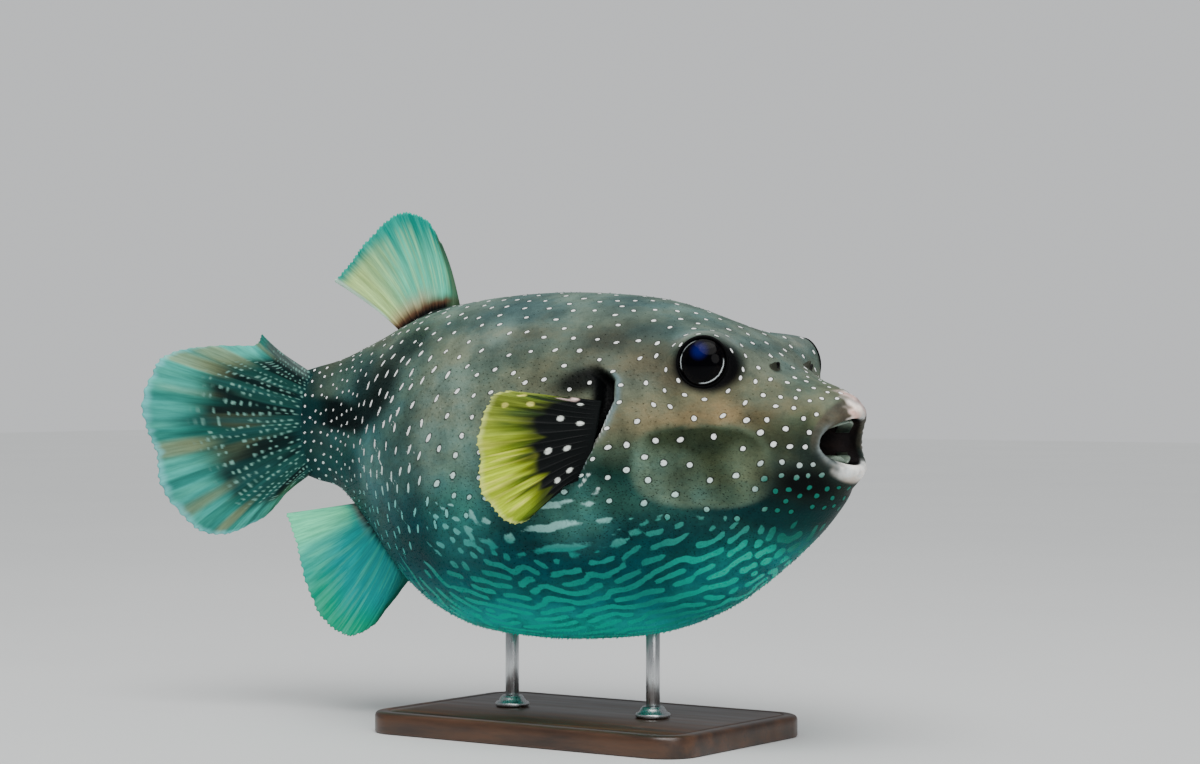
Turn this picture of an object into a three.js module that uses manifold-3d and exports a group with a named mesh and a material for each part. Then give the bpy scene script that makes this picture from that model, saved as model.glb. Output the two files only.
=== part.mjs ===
// A white-spotted pufferfish, life size and partly inflated, swimming over a plain display stand.
// Millimetres, +Z up. The origin is the centre of the stand's underside; the nose points along +X and
// the fish's right side faces -Y.
import * as THREE from "three";
import Module from "manifold-3d";

const wasm = await Module();
wasm.setup();

// ---- driving dimensions ----
const axisHeight = 139; // line from mouth to tail root, above the table
const gap = 0.3; // left between neighbouring pieces
const ringStep = { trunk: 10.5, head: 6.5, mouth: 4.2, gullet: 9 }; // spacing of the rings that make the skin
const headStartsAt = 62; // ahead of this x the rings stand closer
const ringSides = 38;

// The tail swings to the fish's right along an arc that starts behind the belly.
const tailArc = { startX: -60, length: 103, degrees: 14 };

const cuts = { lips: 138.5, gill: 60, tail: -120 }; // where the body is parted, along x

const eye = { x: 91.5, y: 39.8, z: 32.3, radius: 11.8, depth: 7.6, gaze: [0.36, 0.92, 0.12] };
const mound = { x: 91, y: 35, z: 34, out: 9, up: 5, reach: 12.5 }; // swelling of the head round each eye

const gillSlit = { x: 50.5, y: 60.5, z: 4, tall: 45, wide: 3.6, bow: 6, deep: 6, lean: 12 };

const beak = {
  back: 136, front: 146, setBack: 10.5, half: 15, level: -3, spread: 64,
  upper: { tall: 10.8, thick: 3.8 }, lower: { tall: 8.7, thick: 4.6 },
};

const nostril = { x: 112.5, y: 14.5, z: 31, lobe: [1.5, 1.2, 2.5], apart: 2.4 };

const stand = {
  length: 176, width: 112, thick: 10, corner: 16, bevel: 1.5,
  rodRadius: 3.2, rodX: [38, -42], rodTop: 58, collarRadius: 8, collarTall: 5,
};

// Outline of the body, from the tail to the lips and on into the mouth. top and bottom are heights over
// the axis, half is half the width, level the height of the widest point, back how far the sides of a
// ring stand behind its middle, and crown how square the upper half is (2 is an ellipse).
const bodyStations = [
  { at: "tail end", x: -163, top: 29, bottom: -21, half: 3.2, level: 4, back: 0, crown: 2 },
  { at: "tail root", x: -154, top: 31.5, bottom: -24, half: 7.5, level: 4, back: 0, crown: 2 },
  { at: "peduncle", x: -139, top: 35.5, bottom: -29, half: 15, level: 4, back: 0, crown: 2 },
  { at: "vent", x: -118, top: 44, bottom: -48.5, half: 29, level: 1, back: 0, crown: 2 },
  { at: "dorsal", x: -90, top: 55.5, bottom: -76, half: 48, level: -5, back: 0, crown: 2 },
  { at: "rear belly", x: -58, top: 62.5, bottom: -91, half: 63, level: -11, back: 0, crown: 2 },
  { at: "loin", x: -22, top: 65.5, bottom: -95, half: 71, level: -14, back: 0, crown: 2 },
  { at: "belly", x: 12, top: 65, bottom: -94, half: 71, level: -15, back: 0, crown: 2 },
  { at: "gill", x: 45, top: 61.5, bottom: -89.5, half: 64, level: -13, back: 0, crown: 2.05 },
  { at: "cheek", x: 73, top: 53, bottom: -79.5, half: 54, level: -9, back: 0, crown: 2.2 },
  { at: "eye", x: 95, top: 43, bottom: -66, half: 45.5, level: -4, back: 0, crown: 2.3 },
  { at: "snout", x: 118, top: 28, bottom: -48, half: 34, level: -4, back: 1.5, crown: 2.1 },
  { at: "muzzle", x: 132, top: 22.5, bottom: -34, half: 26.5, level: -4, back: 5.5, crown: 2 },
  { at: "lip root", x: 141, top: 19, bottom: -22.5, half: 21, level: -3.5, back: 9, crown: 2 },
  { at: "lip crest", x: 147, top: 12.5, bottom: -16, half: 18.3, level: -3, back: 11, crown: 2 },
  { at: "lip inside", x: 145, top: 8.4, bottom: -12.3, half: 16, level: -3, back: 11, crown: 2 },
  { at: "throat", x: 136, top: 8.4, bottom: -12.3, half: 15.5, level: -3, back: 8.5, crown: 2 },
  { at: "gullet", x: 119, top: 6, bottom: -11, half: 12, level: -3, back: 2, crown: 2 },
  { at: "gullet end", x: 108, top: -2, bottom: -4, half: 1, level: -3, back: 0, crown: 2 },
];

// Each fin is a fan of rays from a base line to a margin, both from its leading to its trailing edge,
// as points in the frame of the body's axis. bow pushes the middle of the fan out, and ripple waves it.
const fins = {
  dorsal_fin: {
    base: [[-74, 0, 57], [-105, 0, 46]],
    margin: [[-82, -4, 90], [-89, -8, 103], [-104, -12, 105], [-120, -17, 89.5], [-135.5, -20, 73]],
    bow: [0, 3, 0], ripple: 0.8, waves: 2.5, root: 6.5, edge: 1, rays: 14, steps: 6,
  },
  anal_fin: {
    base: [[-98, 1, -62], [-127, -3, -34]],
    margin: [[-117, -3, -85], [-125, -5, -96], [-138, -8, -100.5], [-153, -11, -90], [-164, -13, -62],
      [-171.5, -14, -41]],
    bow: [0, 3, 0], ripple: 0.8, waves: 2.5, root: 6, edge: 1, rays: 14, steps: 6,
  },
  caudal_fin: {
    base: [[-155, -12, 28], [-157, -12.5, 4], [-155, -12, -20]],
    margin: [[-182, -21, 48], [-190, -18, 42.5], [-216, -24, 42], [-238, -29, 38.5], [-247, -31, 28],
      [-251.5, -32.5, 4], [-244, -31, -12], [-239, -30, -30], [-225, -27, -48], [-206, -23, -52.5],
      [-190, -20, -47], [-172, -16, -34.5]],
    bow: [0, -3, 0], ripple: 1.6, waves: 4.5, root: 5.5, edge: 1, rays: 20, steps: 6,
  },
  pectoral_fin_right: {
    base: [[49.5, -60, 21], [48, -62, 2], [40, -62, -17]],
    margin: [[26, -82, 19], [18, -90, 19.5], [11, -93, 12], [8.5, -94, -4], [8.5, -93, -18],
      [13, -90, -31], [23, -84.5, -38], [31, -79, -31]],
    bow: [2, -3, 0], ripple: 1, waves: 4.5, root: 7, edge: 1, rays: 16, steps: 5,
  },
};

// ---- helpers ----

// A smooth curve through points, at t from 0 to 1.
function along(values, t) {
  const last = values.length - 1;
  const i = Math.min(Math.floor(t * last), last - 1);
  const s = t * last - i;
  const mix = (p0, p1, p2, p3) =>
    p1 + 0.5 * s * (p2 - p0 + s * (2 * p0 - 5 * p1 + 4 * p2 - p3 + s * (3 * (p1 - p2) + p3 - p0)));
  const before = (a, b) => 2 * a - b; // carries the curve on past its ends
  const [p1, p2] = [values[i], values[i + 1]];
  return p1.map((_, k) => {
    const p0 = i > 0 ? values[i - 1][k] : before(p1[k], p2[k]);
    const p3 = i + 2 <= last ? values[i + 2][k] : before(p2[k], p1[k]);
    return mix(p0, p1[k], p2[k], p3);
  });
}

// A closed solid from shared corners and triangles that face out.
function solid(corners, triangles) {
  return new wasm.Manifold(
    new wasm.Mesh({
      numProp: 3,
      vertProperties: new Float32Array(corners.flat()),
      triVerts: new Uint32Array(triangles.flat()),
    }),
  );
}

// A three.js geometry as a solid. Only its positions are kept, merged where they meet.
function solidOf(geometry, matrix = new THREE.Matrix4()) {
  const flat = (geometry.index ? geometry.toNonIndexed() : geometry).clone().applyMatrix4(matrix);
  const position = flat.getAttribute("position");
  const places = new Map();
  const corners = [];
  const indices = [];
  for (let i = 0; i < position.count; i++) {
    const p = [position.getX(i), position.getY(i), position.getZ(i)];
    const key = p.map((v) => Math.round(v * 1e4)).join();
    if (!places.has(key)) {
      places.set(key, corners.length);
      corners.push(p);
    }
    indices.push(places.get(key));
  }
  const triangles = [];
  for (let i = 0; i < indices.length; i += 3) {
    const [a, b, c] = indices.slice(i, i + 3);
    if (a !== b && b !== c && c !== a) triangles.push([a, b, c]);
  }
  return solid(corners, triangles);
}

// Joins rings of equal count into a closed solid, each end capped by a fan.
function loft(rings) {
  const sides = rings[0].length;
  const corners = rings.flat();
  const triangles = [];
  const at = (i, j) => i * sides + (j % sides);
  for (let i = 0; i + 1 < rings.length; i++)
    for (let j = 0; j < sides; j++)
      triangles.push([at(i, j), at(i, j + 1), at(i + 1, j + 1)], [at(i, j), at(i + 1, j + 1), at(i + 1, j)]);
  for (const i of [0, rings.length - 1]) {
    const middle = corners.length;
    corners.push([0, 1, 2].map((k) => rings[i].reduce((sum, p) => sum + p[k], 0) / sides));
    for (let j = 0; j < sides; j++)
      triangles.push(i === 0 ? [middle, at(i, j + 1), at(i, j)] : [middle, at(i, j), at(i, j + 1)]);
  }
  return solid(corners, triangles);
}

// Joins two grids of points, front and back, into a closed thin solid.
function slab(front, back) {
  const [rows, columns] = [front.length, front[0].length];
  const corners = [...front.flat(), ...back.flat()];
  const f = (i, j) => i * columns + j;
  const b = (i, j) => rows * columns + f(i, j);
  const triangles = [];
  const quad = (p, q, r, s) => triangles.push([p, q, r], [p, r, s]);
  for (let i = 0; i + 1 < rows; i++)
    for (let j = 0; j + 1 < columns; j++) {
      quad(f(i, j), f(i, j + 1), f(i + 1, j + 1), f(i + 1, j));
      quad(b(i, j), b(i + 1, j), b(i + 1, j + 1), b(i, j + 1));
    }
  for (let j = 0; j + 1 < columns; j++) {
    quad(f(0, j + 1), f(0, j), b(0, j), b(0, j + 1));
    quad(f(rows - 1, j), f(rows - 1, j + 1), b(rows - 1, j + 1), b(rows - 1, j));
  }
  for (let i = 0; i + 1 < rows; i++) {
    quad(f(i, 0), f(i + 1, 0), b(i + 1, 0), b(i, 0));
    quad(f(i + 1, columns - 1), f(i, columns - 1), b(i, columns - 1), b(i + 1, columns - 1));
  }
  return solid(corners, triangles);
}

// ---- body ----

// Carries a point of the straight body round the arc of the tail.
function bend([x, y, z]) {
  if (x >= tailArc.startX) return [x, y, z];
  const turn = THREE.MathUtils.degToRad(tailArc.degrees);
  const radius = tailArc.length / turn;
  const angle = (tailArc.startX - x) / radius;
  return [tailArc.startX - (radius + y) * Math.sin(angle), (radius + y) * Math.cos(angle) - radius, z];
}

// How strongly the swelling round an eye lifts a point of the head, from 0 to 1.
function moundAt([x, y, z]) {
  const far = (x - mound.x) ** 2 + (Math.abs(y) - mound.y) ** 2 + (z - mound.z) ** 2;
  return Math.exp(-far / (2 * mound.reach ** 2));
}

// A point of the skin on the ring of one station, angle 0 at the fish's left side and 90 degrees on top.
function skinPoint(station, angle, grow) {
  const [c, s] = [Math.cos(angle), Math.sin(angle)];
  const power = 2 / (s > 0 ? station.crown : 2);
  const y = (station.half + grow) * Math.sign(c) * Math.abs(c) ** power;
  const tall = s > 0 ? station.top - station.level : station.level - station.bottom;
  const z = station.level + (tall + grow) * Math.sign(s) * Math.abs(s) ** power;
  const x = station.x - station.back * c * c;
  const lift = moundAt([x, y, z]);
  return bend([x, y + lift * mound.out * Math.sign(y), z + lift * mound.up]);
}

// The rings of the skin, spaced by ringStep between the stations.
function bodyRings(grow = 0) {
  const keys = ["x", "top", "bottom", "half", "level", "back", "crown"];
  const table = bodyStations.map((station) => keys.map((key) => station[key]));
  const rings = [];
  const last = bodyStations.length - 1;
  const place = (name) => bodyStations.findIndex((station) => station.at === name);
  const stepAt = (i) => {
    if (i >= place("throat")) return ringStep.gullet;
    if (i >= place("muzzle")) return ringStep.mouth;
    return bodyStations[i].x >= headStartsAt ? ringStep.head : ringStep.trunk;
  };
  for (let i = 0; i < last; i++) {
    const [a, b] = [bodyStations[i], bodyStations[i + 1]];
    const run = Math.hypot(b.x - a.x, b.top - a.top, b.half - a.half);
    const count = Math.max(1, Math.round(run / stepAt(i)));
    for (let k = 0; k < count + (i === last - 1 ? 1 : 0); k++) {
      const values = along(table, (i + k / count) / last);
      const ring = Object.fromEntries(keys.map((key, n) => [key, values[n]]));
      const angles = Array.from({ length: ringSides }, (_, j) => (2 * Math.PI * j) / ringSides);
      rings.push(angles.map((angle) => skinPoint(ring, angle, grow)));
    }
  }
  return rings;
}

// An eyeball, flattened along the way it looks. side is 1 on the fish's left and -1 on its right.
function eyeSolid(side, grow = 0) {
  const look = new THREE.Vector3(eye.gaze[0], side * eye.gaze[1], eye.gaze[2]).normalize();
  const turn = new THREE.Quaternion().setFromUnitVectors(new THREE.Vector3(0, 1, 0), look);
  const place = new THREE.Vector3(eye.x, side * eye.y, eye.z);
  const size = new THREE.Vector3(eye.radius + grow, eye.depth + grow, eye.radius + grow);
  return solidOf(new THREE.SphereGeometry(1, 18, 10), new THREE.Matrix4().compose(place, turn, size));
}

// The opening ahead of each pectoral fin: a bowed slot cut in from the side, leaning with the flank.
function gillSolid(side) {
  const { tall, wide, bow, deep, lean } = gillSlit;
  const shape = new THREE.Shape();
  shape.moveTo(-bow, -tall / 2);
  shape.quadraticCurveTo(bow + wide, 0, -bow, tall / 2);
  shape.quadraticCurveTo(bow - wide, 0, -bow, -tall / 2);
  const reach = 4 * deep;
  const cutter = new THREE.ExtrudeGeometry(shape, { depth: reach, bevelEnabled: false, curveSegments: 7 });
  cutter.translate(0, 0, -reach + deep); // z = 0 is now the mouth of the slot
  cutter.rotateX((side * Math.PI) / 2);
  cutter.rotateX(side * THREE.MathUtils.degToRad(lean));
  return solidOf(cutter, new THREE.Matrix4().makeTranslation(gillSlit.x, side * gillSlit.y, gillSlit.z));
}

// One plate of the beak: an arc of a flattened ring that follows the mouth. side is 1 above, -1 below.
function beakSolid(side) {
  const { back, front, setBack, half, level, spread } = beak;
  const { tall, thick } = side > 0 ? beak.upper : beak.lower;
  const steps = 12;
  const rings = [];
  for (let i = 0; i <= steps; i++) {
    const angle = side * (Math.PI / 2 + THREE.MathUtils.degToRad(spread) * (1 - (2 * i) / steps));
    const [c, s] = [Math.cos(angle), Math.sin(angle)];
    const corner = (x, inset) => [x - setBack * c * c, (half - inset) * c, level + (tall - inset) * s];
    rings.push([corner(back, 0), corner(front - 2, 0), corner(front, thick * 0.75), corner(back, thick)]);
  }
  return loft(side > 0 ? rings : rings.reverse());
}

// A fleshy lobe of the nose, one of two beside each nostril.
function nostrilSolid(side) {
  const lobes = [-1, 1].map((end) => {
    const place = new THREE.Vector3(nostril.x + (end * nostril.apart) / 2, side * nostril.y, nostril.z);
    const turn = new THREE.Quaternion().setFromEuler(new THREE.Euler(-side * 0.45, end * 0.35, 0));
    const matrix = new THREE.Matrix4().compose(place, turn, new THREE.Vector3(...nostril.lobe));
    return solidOf(new THREE.SphereGeometry(1, 8, 6), matrix);
  });
  return lobes[0].add(lobes[1]);
}

// ---- fins ----

// A point on the middle sheet of a fin, a from the leading to the trailing ray, r from base to margin.
function finPoint(fin, a, r) {
  const [from, to] = [along(fin.base, a), along(fin.margin, a)];
  const swell = 4 * r * (1 - r);
  const wave = fin.ripple * r * r * Math.sin(2 * Math.PI * fin.waves * a);
  return from.map((v, k) => v + (to[k] - v) * r + fin.bow[k] * swell + (k === 1 ? wave : 0));
}

function finSolid(fin) {
  const delta = 1e-3;
  const grids = [[], []];
  for (let i = 0; i <= fin.steps; i++) {
    const r = i / fin.steps;
    const rows = [[], []];
    for (let j = 0; j <= fin.rays; j++) {
      const a = j / fin.rays;
      const p = new THREE.Vector3(...finPoint(fin, a, r));
      const [a0, r0] = [Math.min(a, 1 - delta), Math.min(r, 1 - delta)];
      const q = new THREE.Vector3(...finPoint(fin, a0, r0));
      const alongA = new THREE.Vector3(...finPoint(fin, a0 + delta, r0)).sub(q);
      const alongR = new THREE.Vector3(...finPoint(fin, a0, r0 + delta)).sub(q);
      const normal = alongA.cross(alongR).normalize();
      const half = (fin.edge + (fin.root - fin.edge) * (1 - r) ** 3) / 2;
      rows[0].push(p.clone().addScaledVector(normal, half).toArray());
      rows[1].push(p.clone().addScaledVector(normal, -half).toArray());
    }
    grids[0].push(rows[0]);
    grids[1].push(rows[1]);
  }
  return slab(...grids);
}

// The same fin on the other side of the body.
function mirrored(fin) {
  const flip = ([x, y, z]) => [x, -y, z];
  return { ...fin, base: fin.base.map(flip), margin: fin.margin.map(flip), bow: flip(fin.bow) };
}

// ---- stand ----

function standBase() {
  const { length, width, thick, corner, bevel } = stand;
  const [l, w, c] = [length / 2 - bevel, width / 2 - bevel, corner];
  const shape = new THREE.Shape();
  shape.moveTo(-l + c, -w);
  shape.lineTo(l - c, -w);
  shape.absarc(l - c, -w + c, c, -Math.PI / 2, 0);
  shape.absarc(l - c, w - c, c, 0, Math.PI / 2);
  shape.absarc(-l + c, w - c, c, Math.PI / 2, Math.PI);
  shape.absarc(-l + c, -w + c, c, Math.PI, 1.5 * Math.PI);
  const options = { depth: thick - 2 * bevel, bevelThickness: bevel, bevelSize: bevel, bevelSegments: 1 };
  const plate = new THREE.ExtrudeGeometry(shape, { ...options, curveSegments: 4 });
  return solidOf(plate, new THREE.Matrix4().makeTranslation(0, 0, bevel));
}

function cylinder(radius, x, from, to) {
  const upright = new THREE.CylinderGeometry(radius, radius, to - from, 16).rotateX(Math.PI / 2);
  return solidOf(upright, new THREE.Matrix4().makeTranslation(x, 0, (from + to) / 2));
}

// A low turned collar where a rod meets the base.
function collar(x) {
  const { rodRadius, collarRadius, collarTall, thick } = stand;
  const inner = rodRadius + gap;
  const profile = [
    [inner, 0], [collarRadius, 0], [collarRadius, collarTall * 0.35], [inner + 2, collarTall],
    [inner, collarTall], [inner, 0],
  ].map(([r, h]) => new THREE.Vector2(r, h));
  const ring = new THREE.LatheGeometry(profile, 16).rotateX(Math.PI / 2);
  return solidOf(ring, new THREE.Matrix4().makeTranslation(x, 0, thick + gap));
}

// ---- assembly ----

const colours = {
  skin: { color: 0x5d6156, roughness: 0.55, metalness: 0 },
  lips: { color: 0xd8bdb2, roughness: 0.45, metalness: 0 },
  tail: { color: 0x35504d, roughness: 0.55, metalness: 0 },
  paleFin: { color: 0x8fc3a0, roughness: 0.5, metalness: 0 },
  yellowFin: { color: 0xa6a93a, roughness: 0.5, metalness: 0 },
  eye: { color: 0x07070c, roughness: 0.1, metalness: 0 },
  beak: { color: 0xe6e0d2, roughness: 0.35, metalness: 0 },
  base: { color: 0x2b2723, roughness: 0.5, metalness: 0 },
  rod: { color: 0xb4b6b8, roughness: 0.3, metalness: 1 },
};

const model = new THREE.Group();

function addMesh(name, made, finish, height = axisHeight) {
  const mesh = made.getMesh();
  const geometry = new THREE.BufferGeometry();
  geometry.setAttribute("position", new THREE.BufferAttribute(new Float32Array(mesh.vertProperties), 3));
  geometry.setIndex(new THREE.BufferAttribute(new Uint32Array(mesh.triVerts), 1));
  geometry.computeVertexNormals();
  const part = new THREE.Mesh(geometry, new THREE.MeshStandardMaterial(colours[finish]));
  part.name = name;
  part.position.z = height;
  model.add(part);
}

// The part of a solid between two upright planes across x.
function slice(whole, from, to) {
  const span = 400;
  const box = new THREE.BoxGeometry(to - from, span, span);
  return whole.intersect(solidOf(box, new THREE.Matrix4().makeTranslation((from + to) / 2, 0, 0)));
}

function largest(whole) {
  return whole.decompose().sort((a, b) => b.volume() - a.volume())[0];
}

function heightOf(whole) {
  const box = whole.boundingBox();
  return box.max[2] + box.min[2];
}

const [farBack, farFront] = [-400, 400];
const body = loft(bodyRings());
const bodyRoom = loft(bodyRings(gap));
const sides = { right: -1, left: 1 };

let head = slice(body, cuts.gill + gap / 2, cuts.lips - gap / 2);
let trunk = slice(body, cuts.tail + gap / 2, cuts.gill - gap / 2);
const lips = slice(body, cuts.lips + gap / 2, farFront).decompose();
const tail = slice(body, farBack, cuts.tail - gap / 2);

const finSolids = {};
for (const [name, fin] of Object.entries(fins)) {
  finSolids[name] = largest(finSolid(fin).subtract(bodyRoom));
}
finSolids.pectoral_fin_left = largest(finSolid(mirrored(fins.pectoral_fin_right)).subtract(bodyRoom));

for (const [word, side] of Object.entries(sides)) {
  head = head.subtract(eyeSolid(side, gap));
  trunk = trunk.subtract(gillSolid(side));
  addMesh(`eye_${word}`, eyeSolid(side), "eye");
  addMesh(`nostril_${word}`, largest(nostrilSolid(side).subtract(bodyRoom)), "skin");
}
for (const x of stand.rodX) {
  const socketFloor = stand.rodTop - axisHeight + gap;
  trunk = trunk.subtract(cylinder(stand.rodRadius + gap, x, -axisHeight, socketFloor));
}

addMesh("head", largest(head), "skin");
addMesh("trunk", largest(trunk), "skin");
addMesh("tail", tail, "tail");
addMesh("lip_upper", lips.reduce((a, b) => (heightOf(a) > heightOf(b) ? a : b)), "lips");
addMesh("lip_lower", lips.reduce((a, b) => (heightOf(a) < heightOf(b) ? a : b)), "lips");
addMesh("beak_upper", beakSolid(1), "beak");
addMesh("beak_lower", beakSolid(-1), "beak");
addMesh("caudal_fin", finSolids.caudal_fin, "tail");
addMesh("dorsal_fin", finSolids.dorsal_fin, "paleFin");
addMesh("anal_fin", finSolids.anal_fin, "paleFin");
addMesh("pectoral_fin_right", finSolids.pectoral_fin_right, "yellowFin");
addMesh("pectoral_fin_left", finSolids.pectoral_fin_left, "yellowFin");

addMesh("stand_base", standBase(), "base", 0);
stand.rodX.forEach((x, i) => {
  const end = ["front", "rear"][i];
  addMesh(`stand_rod_${end}`, cylinder(stand.rodRadius, x, stand.thick + gap, stand.rodTop), "rod", 0);
  addMesh(`stand_collar_${end}`, collar(x), "rod", 0);
});

export default model;
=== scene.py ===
import math
import bmesh
import bpy
import numpy as np
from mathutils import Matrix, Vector, kdtree


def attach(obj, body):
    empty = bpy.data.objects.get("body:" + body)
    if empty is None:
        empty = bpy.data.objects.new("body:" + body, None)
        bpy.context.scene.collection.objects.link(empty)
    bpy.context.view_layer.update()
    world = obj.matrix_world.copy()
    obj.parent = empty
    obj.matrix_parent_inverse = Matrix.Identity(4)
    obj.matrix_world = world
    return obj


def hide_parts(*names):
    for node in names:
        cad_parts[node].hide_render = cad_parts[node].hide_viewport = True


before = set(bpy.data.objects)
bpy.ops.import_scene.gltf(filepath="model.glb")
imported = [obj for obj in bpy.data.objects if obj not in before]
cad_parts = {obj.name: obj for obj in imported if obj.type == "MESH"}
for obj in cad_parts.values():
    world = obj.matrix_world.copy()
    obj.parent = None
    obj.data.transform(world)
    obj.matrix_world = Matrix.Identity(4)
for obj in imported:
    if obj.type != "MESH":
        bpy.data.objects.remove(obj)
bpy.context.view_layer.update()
print("frame loaded:", len(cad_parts), "solids")

# Shapes are worked out in millimetres over the fish's own axis, which runs from the mouth to the tail root.
mm = 0.001
axisHeight = 139.0  # the axis above the floor
chance = np.random.default_rng(41)


# A smooth curve through a list of points, at t from 0 to 1.
def along(points, t):
    points = np.asarray(points, float)
    last = len(points) - 1
    padded = np.vstack([2 * points[0] - points[1], points, 2 * points[-1] - points[-2]])
    place = np.clip(np.asarray(t, float), 0, 1) * last
    i = np.minimum(place.astype(int), last - 1)
    s = (place - i)[..., None]
    p0, p1, p2, p3 = (padded[i + k] for k in range(4))
    return p1 + 0.5 * s * (p2 - p0 + s * (2 * p0 - 5 * p1 + 4 * p2 - p3 + s * (3 * (p1 - p2) + p3 - p0)))


# A soft step from 0 at low to 1 at high.
def smooth(low, high, x):
    s = np.clip((x - low) / (high - low), 0, 1)
    return s * s * (3 - 2 * s)


def bell(x, width):
    return np.exp(-0.5 * (x / width) ** 2)


def unit(v):
    return v / np.maximum(np.linalg.norm(v, axis=-1, keepdims=True), 1e-9)


# Faces of a grid of points, row after row. Its columns close into rings where closed is set.
def gridFaces(rows, columns, closed=False, flip=False):
    i, j = np.meshgrid(np.arange(rows - 1), np.arange(columns if closed else columns - 1), indexing="ij")
    k = (j + 1) % columns
    faces = np.stack([i * columns + j, i * columns + k, (i + 1) * columns + k, (i + 1) * columns + j], -1)
    faces = faces.reshape(-1, 4)
    return faces[:, ::-1] if flip else faces


# A smooth-shaded object from points over the axis, in millimetres.
def addPiece(name, points, faces, lift=axisHeight):
    places = np.asarray(points, float).reshape(-1, 3) + [0, 0, lift]
    mesh = bpy.data.meshes.new(name)
    mesh.from_pydata((places * mm).tolist(), [], [list(map(int, face)) for face in faces])
    mesh.shade_smooth()
    mesh.validate()
    piece = bpy.data.objects.new(name, mesh)
    bpy.context.scene.collection.objects.link(piece)
    return piece


# Keeps one value, vector or colour for each point of a piece, for its material.
def store(piece, name, values, kind="FLOAT"):
    values = np.asarray(values, float)
    key = {"FLOAT": "value", "FLOAT_VECTOR": "vector", "FLOAT_COLOR": "color"}[kind]
    if kind == "FLOAT_COLOR":
        values = np.concatenate([values, np.ones((len(values), 1))], 1)
    layer = piece.data.attributes.new(name, kind, "POINT")
    layer.data.foreach_set(key, values.astype(np.float32).ravel())


# The grid of points of the body and its larger forms.
body = {
    "rows": 336, "columns": 296,
    "tailStart": -60, "tailLength": 103, "tailTurn": math.radians(14),  # the tail swings to the right
    "mound": {"at": [91, 35, 34], "out": 9, "up": 5, "reach": 12.5},  # swelling round each eye
    "stepX": [40, 46, 58, 64, 72, 77, 107, 112, 124, 130],  # rows stand this far apart along the body
    "step": [1.45, 0.8, 0.8, 1.35, 1.35, 0.68, 0.68, 1.1, 1.0, 0.58],
    "mouthStep": [0.6, 1.6, 2.6],
}
# x, top, bottom, half width, height of the widest point, setback of the sides, squareness of the upper half
stations = [
    [-163, 29, -21, 3.2, 4, 0, 2],  # tail end
    [-154, 31.5, -24, 7.5, 4, 0, 2],
    [-139, 35.5, -29, 15, 4, 0, 2],  # peduncle
    [-118, 44, -48.5, 29, 1, 0, 2],
    [-90, 55.5, -76, 48, -5, 0, 2],  # dorsal fin
    [-58, 62.5, -91, 63, -11, 0, 2],
    [-22, 65.5, -95, 71, -14, 0, 2],
    [12, 65, -94, 71, -15, 0, 2],  # belly
    [45, 61.5, -89.5, 64, -13, 0, 2.05],  # gill
    [73, 53, -79.5, 54, -9, 0, 2.2],
    [95, 43, -66, 45.5, -4, 0, 2.3],  # eye
    [118, 28, -48, 34, -4, 1.5, 2.1],
    [132, 22.5, -34, 26.5, -4, 5.5, 2],  # muzzle
    [141, 19, -22.5, 21, -3.5, 9, 2],  # lip root
    [146.4, 12.6, -16, 18.9, -3, 10, 2],  # lip crest
    [145, 8.4, -12.3, 17.2, -3, 10, 2],
    [136, 8.4, -12.3, 16.4, -3, 8, 2],  # throat
    [119, 6, -11, 12, -3, 2, 2],
    [108, -2, -4, 1, -3, 0, 2],  # gullet end
]
lipRoot, lipCrest, lipInside = (k / (len(stations) - 1) for k in (13, 14, 15))


# Turns what lies behind the tail's start to the right, along an arc.
def bend(points):
    x, y, z = points[..., 0], points[..., 1], points[..., 2]
    start, radius = body["tailStart"], body["tailLength"] / body["tailTurn"]
    angle = np.clip(start - x, 0, None) / radius
    turned = np.stack([start - (radius + y) * np.sin(angle), (radius + y) * np.cos(angle) - radius, z], -1)
    return np.where((x < start)[..., None], turned, points)


# A point of the plain skin. t runs from the tail to the gullet, angle from the left side over the back.
def skinAt(t, angle):
    x, top, bottom, half, level, back, crown = np.moveaxis(along(stations, t), -1, 0)
    c, s = np.cos(angle), np.sin(angle)
    power = 2 / np.where(s > 0, crown, 2)
    y = half * np.sign(c) * np.abs(c) ** power
    z = level + np.where(s > 0, top - level, level - bottom) * np.sign(s) * np.abs(s) ** power
    x = x - back * c * c
    mound = body["mound"]
    far = (x - mound["at"][0]) ** 2 + (np.abs(y) - mound["at"][1]) ** 2 + (z - mound["at"][2]) ** 2
    lift = np.exp(-far / (2 * mound["reach"] ** 2))
    return bend(np.stack([x, y + lift * mound["out"] * np.sign(y), z + lift * mound["up"]], -1))


# Rows stand close where the form is fine: eyes, mouth and gill slits.
def bodyRows():
    t = np.linspace(0, 1, 8001)
    profile = along(stations, t)
    x = profile[:, 0]
    step = np.interp(x, body["stepX"], body["step"])
    step = np.where(t > lipInside, np.interp(t, [lipInside, lipInside + 0.06, 1], body["mouthStep"]), step)
    run = np.linalg.norm(np.diff(profile[:, [0, 1, 3]], axis=0), axis=1)
    cost = np.concatenate([[0], np.cumsum(run / (0.5 * (step[1:] + step[:-1])))])
    return np.interp(np.linspace(0, cost[-1], body["rows"]), cost, t)


# Columns stand closer on the belly and at the eyes, alike on both sides.
def bodyColumns():
    half = body["columns"] // 2
    turn = np.linspace(-90, 90, 2001)
    weight = 1 + 0.35 * smooth(0, -50, turn) + 1.1 * bell(turn - 50, 14)
    cost = np.concatenate([[0], np.cumsum(0.5 * (weight[1:] + weight[:-1]))])
    right = np.interp((np.arange(half) + 0.5) / half * cost[-1], cost, turn)
    return np.radians(np.concatenate([right, 180 - right[::-1]]))


# Outward normals of a grid of points whose rows are rings.
def ringNormals(points):
    down = np.gradient(points, axis=0)
    across = 0.5 * (np.roll(points, -1, 1) - np.roll(points, 1, 1))
    return unit(np.cross(across, down))


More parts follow.
